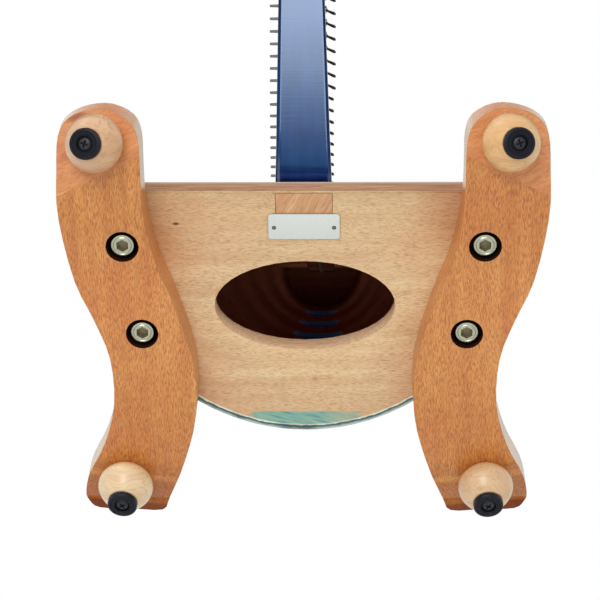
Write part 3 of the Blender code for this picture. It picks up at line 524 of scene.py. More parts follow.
for place, colours in bunColours.items():
    looks["bun" + place] = woodMaterial("turnedMaple" + place, {**bunLook, **colours})
print("materials made")

nodeLooks = {
    "bottom_board": "board", "front_edging": "edging", "soundbox_shell": "shell",
    "soundboard": "spruce", "inner_string_strip": "strip", "base_block": "inside",
    "shell_brace": "inside", "shoulder_block": "shell", "pillar": "lacquer",
    "neck": "lacquer", "strings_on_rib": "clearString", "left_leg": "leg",
    "right_leg": "leg", "nameplate": "plate"}
startLooks = (("lever_", "plastic"), ("foot_bun", "bunbackLeft"), ("foot_tip", "rubber"),
              ("leg_bolt", "zinc"))
for name, node in nodes.items():
    chosen = nodeLooks.get(name)
    for start, look in startLooks:
        if name.startswith(start):
            chosen = look
    node.data.materials.clear()
    node.data.materials.append(looks[chosen])


# modelling helpers

def selectOnly(*chosen):
    bpy.ops.object.select_all(action='DESELECT')
    for piece in chosen:
        piece.select_set(True)
    bpy.context.view_layer.objects.active = chosen[0]


def applyModifier(piece, kind, **settings):
    selectOnly(piece)
    modifier = piece.modifiers.new(kind.lower(), kind)
    for key, value in settings.items():
        setattr(modifier, key, value)
    bpy.ops.object.modifier_apply(modifier=modifier.name)


def easeEdges(piece, width, segments=2, angle=40):
    applyModifier(piece, 'BEVEL', width=width, segments=segments, limit_method='ANGLE',
                  angle_limit=radians(angle))


def smoothed(piece, angle=35, weighted=False):
    selectOnly(piece)
    bpy.ops.object.shade_smooth_by_angle(angle=radians(angle))
    if weighted:
        applyModifier(piece, 'WEIGHTED_NORMAL', keep_sharp=True)


def dress(nodeName, pieceName, looksUsed, body="harp_frame", smooth=30, bevel=0.0,
          weighted=False, shape=None):
    # a merged copy of a CAD node, shaped and finished
    source = nodes[nodeName]
    piece = source.copy()
    piece.data = source.data.copy()
    piece.parent = None
    piece.name = pieceName
    for key in list(piece.keys()):
        del piece[key]
    bpy.context.scene.collection.objects.link(piece)
    piece.data.materials.clear()
    for look in looksUsed:
        piece.data.materials.append(looks[look])
    selectOnly(piece)
    bpy.ops.object.mode_set(mode='EDIT')
    bpy.ops.mesh.select_all(action='SELECT')
    bpy.ops.mesh.remove_doubles(threshold=0.00001)
    bpy.ops.mesh.dissolve_limited(angle_limit=radians(0.2))
    bpy.ops.object.mode_set(mode='OBJECT')
    if shape:
        shape(piece)
    if bevel:
        easeEdges(piece, bevel)
    smoothed(piece, smooth, weighted)
    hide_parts(nodeName)
    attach(piece, body)
    return piece


def paintFaces(piece, slotNumber, wanted):
    turn = toBoard.to_3x3()
    for face in piece.data.polygons:
        if wanted(toBoard @ face.center * 1000, turn @ face.normal):
            face.material_index = slotNumber


def lathe(name, profile, look, sides=48, angle=35):
    # a closed turned piece round z, from its first ring to its last
    bpy.ops.object.select_all(action='DESELECT')
    radius, height = profile[0]
    bpy.ops.mesh.primitive_circle_add(vertices=sides, radius=radius, fill_type='NGON',
                                      location=(0, 0, height))
    piece = bpy.context.object
    piece.name = name
    bpy.ops.object.mode_set(mode='EDIT')
    bpy.ops.mesh.select_all(action='SELECT')
    for nextRadius, nextHeight in profile[1:]:
        bpy.ops.mesh.extrude_region_move(
            TRANSFORM_OT_translate={"value": (0, 0, nextHeight - height)})
        grow = nextRadius / radius
        bpy.ops.transform.resize(value=(grow, grow, 1), center_override=(0, 0, nextHeight))
        radius, height = nextRadius, nextHeight
    bpy.ops.mesh.select_all(action='SELECT')
    bpy.ops.mesh.normals_make_consistent(inside=False)
    bpy.ops.object.mode_set(mode='OBJECT')
    bpy.ops.object.transform_apply(location=True, rotation=True, scale=True)
    piece.data.materials.append(looks[look])
    smoothed(piece, angle)
    return piece


def block(name, low, high, look=None):
    bpy.ops.object.select_all(action='DESELECT')
    middle = [between(a, b, 0.5) for a, b in zip(low, high)]
    bpy.ops.mesh.primitive_cube_add(size=1, location=middle)
    piece = bpy.context.object
    piece.name = name
    piece.scale = [b - a for a, b in zip(low, high)]
    bpy.ops.object.transform_apply(location=True, rotation=True, scale=True)
    if look:
        piece.data.materials.append(looks[look])
    return piece


def joined(name, pieces):
    selectOnly(*pieces)
    bpy.ops.object.join()
    made = bpy.context.object
    made.name = name
    return made


def repeated(model, places, name):
    # a copy of the model at each place, joined as one piece
    copies = []
    for place in places:
        twin = model.copy()
        twin.data = model.data.copy()
        bpy.context.scene.collection.objects.link(twin)
        twin.data.transform(place)
        copies.append(twin)
    bpy.data.objects.remove(model, do_unlink=True)
    return joined(name, copies)


def fixed(piece, slotName, *replaced):
    # a piece of the harp's fixed body
    if replaced:
        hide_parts(*replaced)
    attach(piece, "harp_frame")
    return piece


def cutWith(piece, cutter):
    applyModifier(piece, 'BOOLEAN', operation='DIFFERENCE', object=cutter)
    bpy.data.objects.remove(cutter, do_unlink=True)


# feet: turned buns, rubber tips with rings, and cross-head screws

foot = {"front": ((136.1, -43.9, -20.02), (0.19469, -0.36615, -0.90996)),
        "back": ((128.3, 211.5, -26.55), (0.05213, 0.22581, -0.97278)),
        "bunHeight": 28.0, "bunRadius": 19.7, "seatRadius": 11.5, "widest": 0.44,
        "tipRadius": 10.5, "tipHeight": 5.0, "screwRadius": 4.7, "screwSink": 2.0}


def footPlace(end, side):
    seat, way = foot[end]
    seat = Vector((side * seat[0], seat[1], seat[2])) * mm
    way = Vector((side * way[0], way[1], way[2])).normalized()
    local = Matrix.Translation(seat) @ way.to_track_quat('Z', 'Y').to_matrix().to_4x4()
    return toWorld @ local


def bunProfile(rows=22):
    points = []
    for i in range(rows + 1):
        share = i / rows
        if share < foot["widest"]:
            swell = cos(pi / 2 * (1 - share / foot["widest"])) ** 0.8
            radius = between(foot["seatRadius"], foot["bunRadius"], swell)
        else:
            fall = min((share - foot["widest"]) / (1 - foot["widest"]), 0.999)
            radius = between(foot["tipRadius"] + 0.3, foot["bunRadius"], cos(pi / 2 * fall) ** 0.9)
        points.append((radius * mm, between(0.2, foot["bunHeight"], share) * mm))
    return points


def tipProfile():
    base = foot["bunHeight"] + 0.3
    end = foot["bunHeight"] + foot["tipHeight"]
    rings = [(10.0, base), (10.5, base + 0.5), (10.5, end - 0.9), (10.2, end - 0.3), (9.6, end)]
    for outer in (8.6, 6.8):
        rings += [(outer, end), (outer - 0.3, end - 0.4), (outer - 0.7, end - 0.4),
                  (outer - 1.0, end)]
    rings += [(5.4, end - 0.3), (5.1, end - 2.2)]
    return [(radius * mm, height * mm) for radius, height in rings]


def crossScrew(name, radius, look, rise=0.35, sides=32):
    profile = [(0.9, -0.2), (1.0, -0.1), (1.0, rise * 0.2), (0.85, rise * 0.7),
               (0.6, rise * 0.95), (0.3, rise)]
    piece = lathe(name, [(r * radius, h * radius) for r, h in profile], look, sides)
    for angle in (45, 135):
        reach, wide, deep = radius * 0.55, radius * 0.12, radius * 0.5
        blade = block("blade", (-reach, -wide, rise * radius - deep), (reach, wide, radius))
        blade.data.transform(Matrix.Rotation(radians(angle), 4, 'Z'))
        cutWith(piece, blade)
    return piece


def makeFeet():
    for end in ("front", "back"):
        for sideName, side in (("left", -1), ("right", 1)):
            place = footPlace(end, side)
            tag = end + sideName.capitalize()
            bun = lathe(tag + "Bun", bunProfile(), "bun" + tag, 64)
            bun.data.transform(place)
            fixed(bun, None, "foot_bun_%s_%s" % (end, sideName))
            tip = lathe(tag + "Tip", tipProfile(), "rubber", 64)
            tip.data.transform(place)
            bpy.ops.object.mode_set(mode='EDIT')
            bpy.ops.mesh.select_all(action='SELECT')
            bpy.ops.mesh.bisect(plane_co=(0, 0, 0), plane_no=(0, 0, -1), use_fill=True,
                                clear_outer=True)
            bpy.ops.object.mode_set(mode='OBJECT')
            fixed(tip, None, "foot_tip_%s_%s" % (end, sideName))
            head = (foot["bunHeight"] + foot["tipHeight"] - foot["screwSink"]) * mm
            screw = crossScrew(tag + "Screw", foot["screwRadius"] * mm, "blackSteel")
            screw.data.transform(place @ Matrix.Translation((0, 0, head)))
            fixed(screw, "zinc_steel")


makeFeet()
print("feet made")


# legs and their bolts: the counterbore walls are painted near black as shade, and the slope under the
# heel is end grain

legBolt = {"places": {"front": (123.8, 29.4), "back": (113.0, 96.6)}, "holeRadius": 11.3,
           "legBottom": -28.0, "sink": 2.0, "headRadius": 8.0, "headHeight": 10.0,
           "rim": 1.0, "ringRadius": 6.2, "shankRadius": 5.0, "gripInBoard": 11.0, "socketAcross": 8.0,
           "socketDepth": 5.0}


def inBoltHole(point, normal):
    for x, y in legBolt["places"].values():
        away = hypot(abs(point.x) - x, point.y - y)
        if away < legBolt["holeRadius"] + 0.3 and point.z > legBolt["legBottom"] + 0.1:
            return True
    return False


def outerSide(point, normal):
    return abs(normal.z) < 0.5 and normal.x * point.x > 0


def innerSide(point, normal):
    return abs(normal.z) < 0.5 and normal.x * point.x <= 0


for side in ("left", "right"):
    leg = dress(side + "_leg", side + "Leg", ("leg", "boltHole", "legOuter", "toeEnd",
                                                 "legInner", "heelEnd"),
                smooth=35, weighted=True, bevel=0.35 * mm)
    paintFaces(leg, 2, outerSide)
    paintFaces(leg, 4, innerSide)
    paintFaces(leg, 5, lambda point, normal: point.y > 236 and 0.3 < normal.y < 0.9)
    # the counterbore walls take the painted shade
    paintFaces(leg, 1, inBoltHole)
    paintFaces(leg, 3, lambda point, normal: point.y < -30 and normal.z < -0.8)


def makeLegBolt(end, sideName, side):
    b = legBolt
    low = b["legBottom"] + b["sink"]
    top = low + b["headHeight"]
    ring = b["ringRadius"]
    profile = [(ring - 0.45, low), (ring, low + 0.35), (ring + 0.45, low),
               (b["headRadius"] - b["rim"], low + 0.1),
               (b["headRadius"] - 0.3, low + b["rim"] * 0.4),
               (b["headRadius"], low + b["rim"]), (b["headRadius"], top), (b["shankRadius"], top),
               (b["shankRadius"], b["gripInBoard"])]
    bolt = lathe("legBolt" + end.capitalize() + sideName.capitalize(),
                 [(r * mm, h * mm) for r, h in profile], "zinc", 64, 30)
    bolt.data.materials.append(looks["socket"])
    corner = b["socketAcross"] / 2 / cos(pi / 6)
    hexagon = lathe("hexagon", [(corner * mm, (low - 2) * mm),
                                (corner * mm, (low + b["socketDepth"]) * mm)], "socket", 6)
    cutWith(bolt, hexagon)
    smoothed(bolt, 30)
    for face in bolt.data.polygons:
        x, y, z = face.center / mm
        if hypot(x, y) < corner and low + 0.01 < z < low + b["socketDepth"] + 0.1:
            face.material_index = 1
    x, y = b["places"][end]
    bolt.data.transform(toWorld @ Matrix.Translation((side * x * mm, y * mm, 0)))
    fixed(bolt, None, "leg_bolt_%s_%s" % (end, sideName))


for end in ("front", "back"):
    for sideName, side in (("left", -1), ("right", 1)):
        makeLegBolt(end, sideName, side)
print("legs and bolts made")


# bottom board, edging, plate and its screws, soundboard and shoulder block

accessHole = {"halfWidth": 63.8, "halfDepth": 34.9, "centreY": 88.7}


def onHoleWall(point, normal):
    away = hypot(point.x / accessHole["halfWidth"],
                 (point.y - accessHole["centreY"]) / accessHole["halfDepth"])
    return abs(normal.z) < 0.5 and away < 1.03




tenonFit = {"half": 20.05, "back": 18.1, "edging": 1.5, "close": 0.27, "lean": 26 / 1192}


def closeSlot(piece):
    # the tenon's slot is drawn in until it almost touches
    f = tenonFit
    for vertex in piece.data.vertices:
        at = toBoard @ vertex.co / mm
        if abs(at.x) < f["half"] + 0.1 and at.y < f["back"] + 0.1:
            if abs(at.x) > f["half"] - 0.1:
                at.x -= f["close"] * (1 if at.x > 0 else -1) + f["lean"] * at.z
            if at.y > f["back"] - 0.1:
                at.y -= f["close"]
            vertex.co = toWorld @ (at * mm)


def closeEdging(piece):
    for vertex in piece.data.vertices:
        at = toBoard @ vertex.co / mm
        if at.y > tenonFit["edging"] - 0.1:
            at.y += tenonFit["close"]
            vertex.co = toWorld @ (at * mm)


board = dress("bottom_board", "bottomBoard", ("board", "holeWall", "inside"), bevel=0.15 * mm,
              shape=closeSlot)
# the access hole's wall takes the painted light
paintFaces(board, 1, onHoleWall)
paintFaces(board, 2, lambda point, normal: normal.z > 0.9 and point.z > 14)
edging = dress("front_edging", "frontEdging", ("edging", "board"), bevel=0.15 * mm,
               shape=closeEdging)
paintFaces(edging, 1, lambda point, normal: normal.z < -0.8)
plate = dress("nameplate", "namePlate", ("plate", "plateEdgePaintedShade"), bevel=0.35 * mm)
# the plate's sides and bevels take a painted shadow line
paintFaces(plate, 1, lambda point, normal: normal.z > -0.8)
plateScrew = {"outward": 20.8, "y": 27.4, "z": -1.25, "radius": 1.5}
for sideName, side in (("Left", -1), ("Right", 1)):
    screw = crossScrew("plateScrew" + sideName, plateScrew["radius"] * mm, "plateScrew")
    at = (side * plateScrew["outward"] * mm, plateScrew["y"] * mm, plateScrew["z"] * mm)
    screw.data.transform(toWorld @ Matrix.Translation(at) @ Matrix.Rotation(pi, 4, 'X'))
    fixed(screw, "zinc_steel")
soundboard = dress("soundboard", "soundboardFront", ("spruce", "inside"), bevel=0.6 * mm)
paintFaces(soundboard, 1, lambda point, normal: normal.y > 0.8)
shoulder = dress("shoulder_block", "shoulderBlock", ("shell", "inside"), bevel=1.2 * mm,
                 weighted=True)
paintFaces(shoulder, 1, lambda point, normal: normal.z < -0.9)
print("board, edging, plate, soundboard and shoulder made")


# soundbox shell: half ellipses that lean back as they shrink, with sound holes in the back

shell = {"rings": 16, "sides": 112, "halfWidthLow": 157.0, "halfWidthTop": 48.0,
         "height": 1040.0, "seatY": 6.3, "seatLean": 0.543, "backY": 190.0, "backLean": 0.42,
         "wall": 4.2, "holes": 5, "firstHole": 371.0, "lastHole": 923.0, "holeWidthLow": 64.0,
         "holeWidthTop": 40.0, "holeHeight": 76.0}


def shellRing(z):
    wide = between(shell["halfWidthLow"], shell["halfWidthTop"], z / shell["height"])
    seat = shell["seatY"] + shell["seatLean"] * z
    return wide, seat, shell["backY"] + shell["backLean"] * z - seat


def makeShell():
    bpy.ops.object.select_all(action='DESELECT')
    bpy.ops.mesh.primitive_circle_add(vertices=shell["sides"], radius=1.0, fill_type='NOTHING')
    piece = bpy.context.object
    piece.name = "soundboxShell"
    bpy.ops.object.mode_set(mode='EDIT')
    bpy.ops.mesh.select_all(action='SELECT')
    bpy.ops.mesh.bisect(plane_co=(0, 0, 0), plane_no=(0, -1, 0), clear_outer=True)
    bpy.ops.mesh.select_all(action='SELECT')
    wide, seat, deep = shellRing(0.0)
    bpy.ops.transform.resize(value=(wide * mm, deep * mm, 1), center_override=(0, 0, 0))
    bpy.ops.transform.translate(value=(0, seat * mm, 0))
    for ring in range(1, shell["rings"] + 1):
        z = shell["height"] * ring / shell["rings"]
        nextWide, nextSeat, nextDeep = shellRing(z)
        rise = shell["height"] / shell["rings"]
        bpy.ops.mesh.extrude_region_move(TRANSFORM_OT_translate={
            "value": (0, (nextSeat - seat) * mm, rise * mm)})
        bpy.ops.transform.resize(value=(nextWide / wide, nextDeep / deep, 1),
                                 center_override=(0, nextSeat * mm, z * mm))
        wide, seat, deep = nextWide, nextSeat, nextDeep
    bpy.ops.mesh.select_all(action='SELECT')
    bpy.ops.mesh.remove_doubles(threshold=0.00001)
    bpy.ops.mesh.normals_make_consistent(inside=False)
    bpy.ops.object.mode_set(mode='OBJECT')
    middle = piece.data.polygons[shell["sides"] // 4]
    if middle.normal.y < 0:
        piece.data.flip_normals()
    for look in ("shell", "inside", "shellRim", "soundHole"):
        piece.data.materials.append(looks[look])
    applyModifier(piece, 'SOLIDIFY', thickness=shell["wall"] * mm, offset=-1.0,
                  use_even_offset=True, material_offset=1, material_offset_rim=2)
    lean = atan2(shell["backLean"], 1.0)
    for i in range(shell["holes"]):
        share = i / (shell["holes"] - 1)
        z = between(shell["firstHole"], shell["lastHole"], share)
        across = between(shell["holeWidthLow"], shell["holeWidthTop"], share) / 2
        cutter = lathe("soundHole", [(1.0, -25 * mm), (1.0, 25 * mm)], "soundHole", 72)
        for look in ("inside", "shellRim", "soundHole"):
            cutter.data.materials.append(looks[look])
        for face in cutter.data.polygons:
            face.material_index = 3
        at = Matrix.Translation((0, (shell["backY"] + shell["backLean"] * z) * mm, z * mm))
        size = Matrix.Diagonal((across * mm, shell["holeHeight"] / 2 * mm, 1, 1))
        cutter.data.transform(at @ Matrix.Rotation(pi / 2 - lean, 4, 'X') @ size)
        cutWith(piece, cutter)
    smoothed(piece, 40, weighted=True)
    piece.data.transform(toWorld)
    paintFaces(piece, 2, lambda point, normal: point.z < 6 and normal.z < -0.5)
    return fixed(piece, None, "soundbox_shell")


makeShell()
print("shell made")


# pillar and neck

pillar = dress("pillar", "pillarBody", ("lacquer", "tenonEnd"), smooth=40, weighted=True)
paintFaces(pillar, 1, lambda point, normal: point.z < 15.2)

neck = {"left": -42.0, "middle": -26.0, "right": -10.0}


def trimPins(piece):
    # the left half of the slab, closed again where its pins were, and the same half mirrored
    bpy.ops.object.mode_set(mode='EDIT')
    bpy.ops.mesh.select_all(action='SELECT')
    bpy.ops.mesh.bisect(plane_co=(neck["middle"] * mm, 0, 0), plane_no=(1, 0, 0),
                        clear_outer=True)
    bpy.ops.mesh.select_mode(type='FACE')
    bpy.ops.mesh.select_all(action='DESELECT')
    bpy.ops.object.mode_set(mode='OBJECT')
    for face in piece.data.polygons:
        face.select = face.center.x / mm < neck["left"] + 0.01
    bpy.ops.object.mode_set(mode='EDIT')
    bpy.ops.mesh.delete(type='FACE')
    bpy.ops.mesh.select_mode(type='VERT')
    bpy.ops.mesh.select_all(action='DESELECT')
    bpy.ops.object.mode_set(mode='OBJECT')
    for vertex in piece.data.vertices:
        vertex.select = vertex.co.x / mm < neck["left"] + 0.01
    bpy.ops.object.mode_set(mode='EDIT')
    bpy.ops.mesh.fill(use_beauty=True)
    bpy.ops.mesh.select_all(action='SELECT')
    bpy.ops.mesh.duplicate()
    bpy.ops.transform.resize(value=(-1, 1, 1), center_override=(neck["middle"] * mm, 0, 0))
    bpy.ops.mesh.select_all(action='SELECT')
    bpy.ops.mesh.remove_doubles(threshold=0.01 * mm)
    bpy.ops.mesh.normals_make_consistent(inside=False)
    bpy.ops.object.mode_set(mode='OBJECT')


dress("neck", "neckBody", ("lacquer",), smooth=40, weighted=True, shape=trimPins)
print("pillar and neck made")


# strings, pins, brackets and levers, placed from the levers' hinges

harpString = {"frontEdge": 1.5, "lean": 0.543, "bassRadius": 1.0, "trebleRadius": 0.45,
              "gap": 0.3, "pinRadius": 2.5, "bridgeRadius": 1.3, "bassDrop": 38.5,
              "trebleDrop": 32.5, "turns": 3, "wound": 7}
semitone = 1 - 2 ** (-1 / 12)    # share of a string that its lever takes off


def stringPlaces():
    places = []
    for index, hinge in enumerate(hinges):
        share = index / (len(hinges) - 1)
        x, y, leverZ = toBoard @ Vector(hinge["pos_m"]) * 1000
        radius = between(harpString["bassRadius"], harpString["trebleRadius"], share)
        footZ = (y - harpString["frontEdge"]) / harpString["lean"]
        bridgeZ = (leverZ - footZ * semitone) / (1 - semitone)
        away = radius + harpString["gap"]
        places.append({
            "x": x, "y": y, "leverZ": leverZ, "radius": radius, "footZ": footZ,
            "bridgeY": y - away - harpString["bridgeRadius"], "bridgeZ": bridgeZ,
            "pinY": y + away + harpString["pinRadius"],
            "pinZ": bridgeZ + between(harpString["bassDrop"], harpString["trebleDrop"], share)})
    return places


strings = stringPlaces()


def stringKind(index):
    if index < harpString["wound"]:
        return "woundString"
    return {0: "redString", 3: "blackString"}.get(index % 7, "clearString")


def stringPath(s):
    # up from the rib, past the bridge pin, and round the tuning pin toward the neck
    rib = s["footZ"] + 3.0
    points = [(0.0, s["y"], rib), (0.0, s["y"], between(rib, s["pinZ"], 0.5)),
              (0.0, s["y"], s["pinZ"])]
    steps = 14
    for step in range(1, harpString["turns"] * steps + 1):
        turn = step / steps
        reach = harpString["pinRadius"] + s["radius"] + harpString["gap"] * max(0.0, 1 - 2 * turn)
        angle = pi - 2 * pi * turn
        points.append((-turn * (2 * s["radius"] + 0.1), s["pinY"] + reach * cos(angle),
                       s["pinZ"] + reach * sin(angle)))
    return points


def makeStrings(kind):
    curve = bpy.data.curves.new(kind, 'CURVE')
    curve.dimensions = '3D'
    curve.bevel_depth = mm
    curve.bevel_resolution = 2
    curve.use_fill_caps = True
    for index, s in enumerate(strings):
        if stringKind(index) != kind:
            continue
        points = stringPath(s)
        line = curve.splines.new('POLY')
        line.points.add(len(points) - 1)
        for point, place in zip(line.points, points):
            point.co = (*(c * mm for c in place), 1.0)
            point.radius = s["radius"]
    curve.materials.append(looks[kind])
    piece = bpy.data.objects.new(kind + "s", curve)
    bpy.context.scene.collection.objects.link(piece)
    selectOnly(piece)
    bpy.ops.object.convert(target='MESH')
    piece = bpy.context.object
    piece.data.transform(toWorld)
    smoothed(piece, 50)
    return fixed(piece, None, "strings_on_rib")


for kind in ("woundString", "redString", "blackString", "clearString"):
    makeStrings(kind)

rib = {"halfWidth": 7.0, "depth": 3.0, "gap": 0.3, "margin": 14.0, "edge": 0.7,
       "eyeletRadius": 1.9, "eyeletWire": 0.5, "knotRadius": 1.7, "knotSink": 8.8,
       "knotWire": 0.75}
soundboardWay = Vector((0, -1, harpString["lean"])).normalized()    # out of its front face


def onSoundboard(z, out):
    # a place in the middle of the soundboard's front, or out from it
    y = harpString["frontEdge"] + harpString["lean"] * z
    turn = soundboardWay.to_track_quat('Z', 'X').to_matrix().to_4x4()
    at = Vector((0, y, z)) + soundboardWay * out
    return toWorld @ Matrix.Translation(at * mm) @ turn


def makeRib():
    low = strings[0]["footZ"] - rib["margin"]
    high = strings[-1]["footZ"] + rib["margin"]
    half = (high - low) / 2 * hypot(1.0, harpString["lean"])
    level = 1 / hypot(1.0, harpString["lean"])
    piece = block("stringRib", (-half * mm, -rib["halfWidth"] * mm, rib["gap"] * level * mm),
                  (half * mm, rib["halfWidth"] * mm, (rib["gap"] + rib["depth"]) * level * mm),
                  "rib")
    easeEdges(piece, rib["edge"] * mm, 3)
    smoothed(piece, 40, weighted=True)
    piece.data.transform(onSoundboard((low + high) / 2, 0.0))
    fixed(piece, None, "strings_on_rib")


def ringPiece(name, radius, wire, look):
    bpy.ops.object.select_all(action='DESELECT')
    bpy.ops.mesh.primitive_torus_add(major_radius=radius * mm, minor_radius=wire * mm,
                                     major_segments=16, minor_segments=8)
    piece = bpy.context.object
    piece.name = name
    piece.data.materials.append(looks[look])
    bpy.ops.object.shade_smooth()
    return piece


makeRib()
eyelets = repeated(ringPiece("eyelet", rib["eyeletRadius"], rib["eyeletWire"], "brass"),
                   [onSoundboard(s["footZ"], 3.0) for s in strings], "ribEyelets")
fixed(eyelets, None, "strings_on_rib")
knots = repeated(ringPiece("knot", rib["knotRadius"], rib["knotWire"], "knot"),
                 [onSoundboard(s["footZ"], -rib["knotSink"]) for s in strings], "stringKnots")
fixed(knots, None, "strings_on_rib")
print("strings made")


tuningPin = {"stubRadius": 2.0, "keyEnd": 21.5, "keyLength": 9.0, "keyHalf": 1.4, "reach": 4.0}
bridgePin = {"radius": 1.3, "reach": 1.6, "groove": 0.95}


def alongX(y, z, x, way):
    # a turned piece's place, its foot on a face of the neck and its end pointing along x
    return (toWorld @ Matrix.Translation((x * mm, y * mm, z * mm))
            @ Matrix.Rotation(way * pi / 2, 4, 'Y'))


def makeTuningPins():
    p = tuningPin
    stub = p["keyEnd"] - p["keyLength"]
    wide = p["stubRadius"]
    left = [(wide, -1.0), (wide, stub - 1.2), (wide * 0.94, stub), (wide * 0.9, stub + 0.6),
            (wide * 0.8, p["keyEnd"] - 0.6), (wide * 0.6, p["keyEnd"])]
    key = lathe("keyEnds", [(r * mm, h * mm) for r, h in left], "keySteel", 16, 30)
    for vertex in key.data.vertices:
        x, y, z = vertex.co / mm
        if z > stub + 0.3:
            half = p["keyHalf"] * hypot(x, y) / wide / 0.9
            grow = half / max(abs(x), abs(y))
            vertex.co = (x * grow * mm, y * grow * mm, z * mm)
    keys = repeated(key, [alongX(s["pinY"], s["pinZ"], neck["left"], -1) for s in strings],
                    "tuningPinKeyEnds")
    fixed(keys, None, "neck")
    length = p["reach"] - neck["right"]
    right = [(2.5, -1.0), (2.5, length - 0.7), (2.3, length - 0.2), (1.8, length)]
    shank = lathe("shank", [(r * mm, h * mm) for r, h in right], "steel", 20, 30)
    shanks = repeated(shank, [alongX(s["pinY"], s["pinZ"], neck["right"], 1) for s in strings],
                      "tuningPinShanks")
    fixed(shanks, None, "neck")


def makeBridgePins():
    p = bridgePin
    length = p["reach"] - neck["right"]
    seat = -neck["right"]
    profile = [(1.3, -1.0), (1.3, seat - 1.2), (p["groove"], seat - 0.5), (p["groove"], seat + 0.5),
               (1.3, seat + 1.0), (1.3, length - 0.2), (1.0, length)]
    pin = lathe("bridgePin", [(r * mm, h * mm) for r, h in profile], "steel", 16, 30)
    pins = repeated(pin, [alongX(s["bridgeY"], s["bridgeZ"], neck["right"], 1) for s in strings],
                    "bridgePins")
    fixed(pins, None, "neck")


makeTuningPins()
makeBridgePins()

bracket = {"inner": 2.6, "cheek": 1.1, "floor": 1.6, "reach": 6.7, "halfHeight": 4.5,
           "round": 2.6, "pinRadius": 0.9, "fretRadius": 1.1, "rodSides": 16}


def makeBrackets():
    b = bracket
    outer = b["inner"] + b["cheek"]
    floorX = neck["right"] + b["floor"]
    model = block("bracket", ((neck["right"] - 0.5) * mm, -outer * mm, -b["halfHeight"] * mm),
                  (floorX * mm, outer * mm, b["halfHeight"] * mm), "steel")
    bpy.ops.object.mode_set(mode='EDIT')
    for side in (-1, 1):
        bpy.ops.mesh.select_all(action='SELECT')
        bpy.ops.mesh.bisect(plane_co=(0, side * b["inner"] * mm, 0), plane_no=(0, 1, 0))
    bpy.ops.mesh.select_all(action='DESELECT')
    bpy.ops.object.mode_set(mode='OBJECT')
    for face in model.data.polygons:
        face.select = face.normal.x > 0.9 and abs(face.center.y) > b["inner"] * mm
    bpy.ops.object.mode_set(mode='EDIT')
    bpy.ops.mesh.select_mode(type='FACE')
    bpy.ops.mesh.extrude_region_move(
        TRANSFORM_OT_translate={"value": ((b["reach"] - floorX) * mm, 0, 0)})
    bpy.ops.mesh.select_all(action='DESELECT')
    bpy.ops.object.mode_set(mode='OBJECT')
    for edge in model.data.edges:
        ends = [model.data.vertices[i].co / mm for i in edge.vertices]
        edge.select = (min(p.x for p in ends) > b["reach"] - 0.1
                       and abs(ends[0].z - ends[1].z) < 0.1)
    bpy.ops.object.mode_set(mode='EDIT')
    bpy.ops.mesh.select_mode(type='EDGE')
    bpy.ops.mesh.bevel(offset=b["round"] * mm, segments=4)
    bpy.ops.object.mode_set(mode='OBJECT')
    smoothed(model, 40)
    copies = []
    for s in strings:
        twin = model.copy()
        twin.data = model.data.copy()
        bpy.context.scene.collection.objects.link(twin)
        under = s["bridgeZ"] - harpString["bridgeRadius"] - harpString["gap"] - s["leverZ"]
        lower = min(1.0, under / b["halfHeight"])
        for vertex in twin.data.vertices:
            if vertex.co.z > 0:
                vertex.co.z *= lower
        twin.data.transform(toWorld @ Matrix.Translation((0, s["y"] * mm, s["leverZ"] * mm)))
        copies.append(twin)
    bpy.data.objects.remove(model, do_unlink=True)
    fixed(joined("leverBrackets", copies), None, "neck")


def rodPlaces(xOf):
    return [toWorld @ Matrix.Translation((xOf(s) * mm, s["y"] * mm, s["leverZ"] * mm))
            @ Matrix.Rotation(pi / 2, 4, 'X') for s in strings]


def makeRods():
    b = bracket
    reach = b["inner"] + b["cheek"]
    hinge = [(b["pinRadius"], -reach - 0.4), (b["pinRadius"], reach + 0.4)]
    pin = lathe("hingePin", [(r * mm, h * mm) for r, h in hinge], "blackSteel", b["rodSides"])
    fixed(repeated(pin, rodPlaces(lambda s: s["x"]), "leverHingePins"), None, "neck")
    fret = [(b["fretRadius"], 0.4 - reach), (b["fretRadius"], reach - 0.4)]
    rod = lathe("fretRod", [(r * mm, h * mm) for r, h in fret], "brass", b["rodSides"])
    frets = rodPlaces(lambda s: -s["radius"] - harpString["gap"] - b["fretRadius"])
    fixed(repeated(rod, frets, "leverFrets"), None, "neck")


makeBrackets()
makeRods()
for hinge in hinges:
    child = hinge["child"]
    dress(child, child.replace("_", "Piece"), ("plastic",), body=child, smooth=50,
          bevel=0.35 * mm)
print("pins, brackets and levers made")


# floor, light and camera

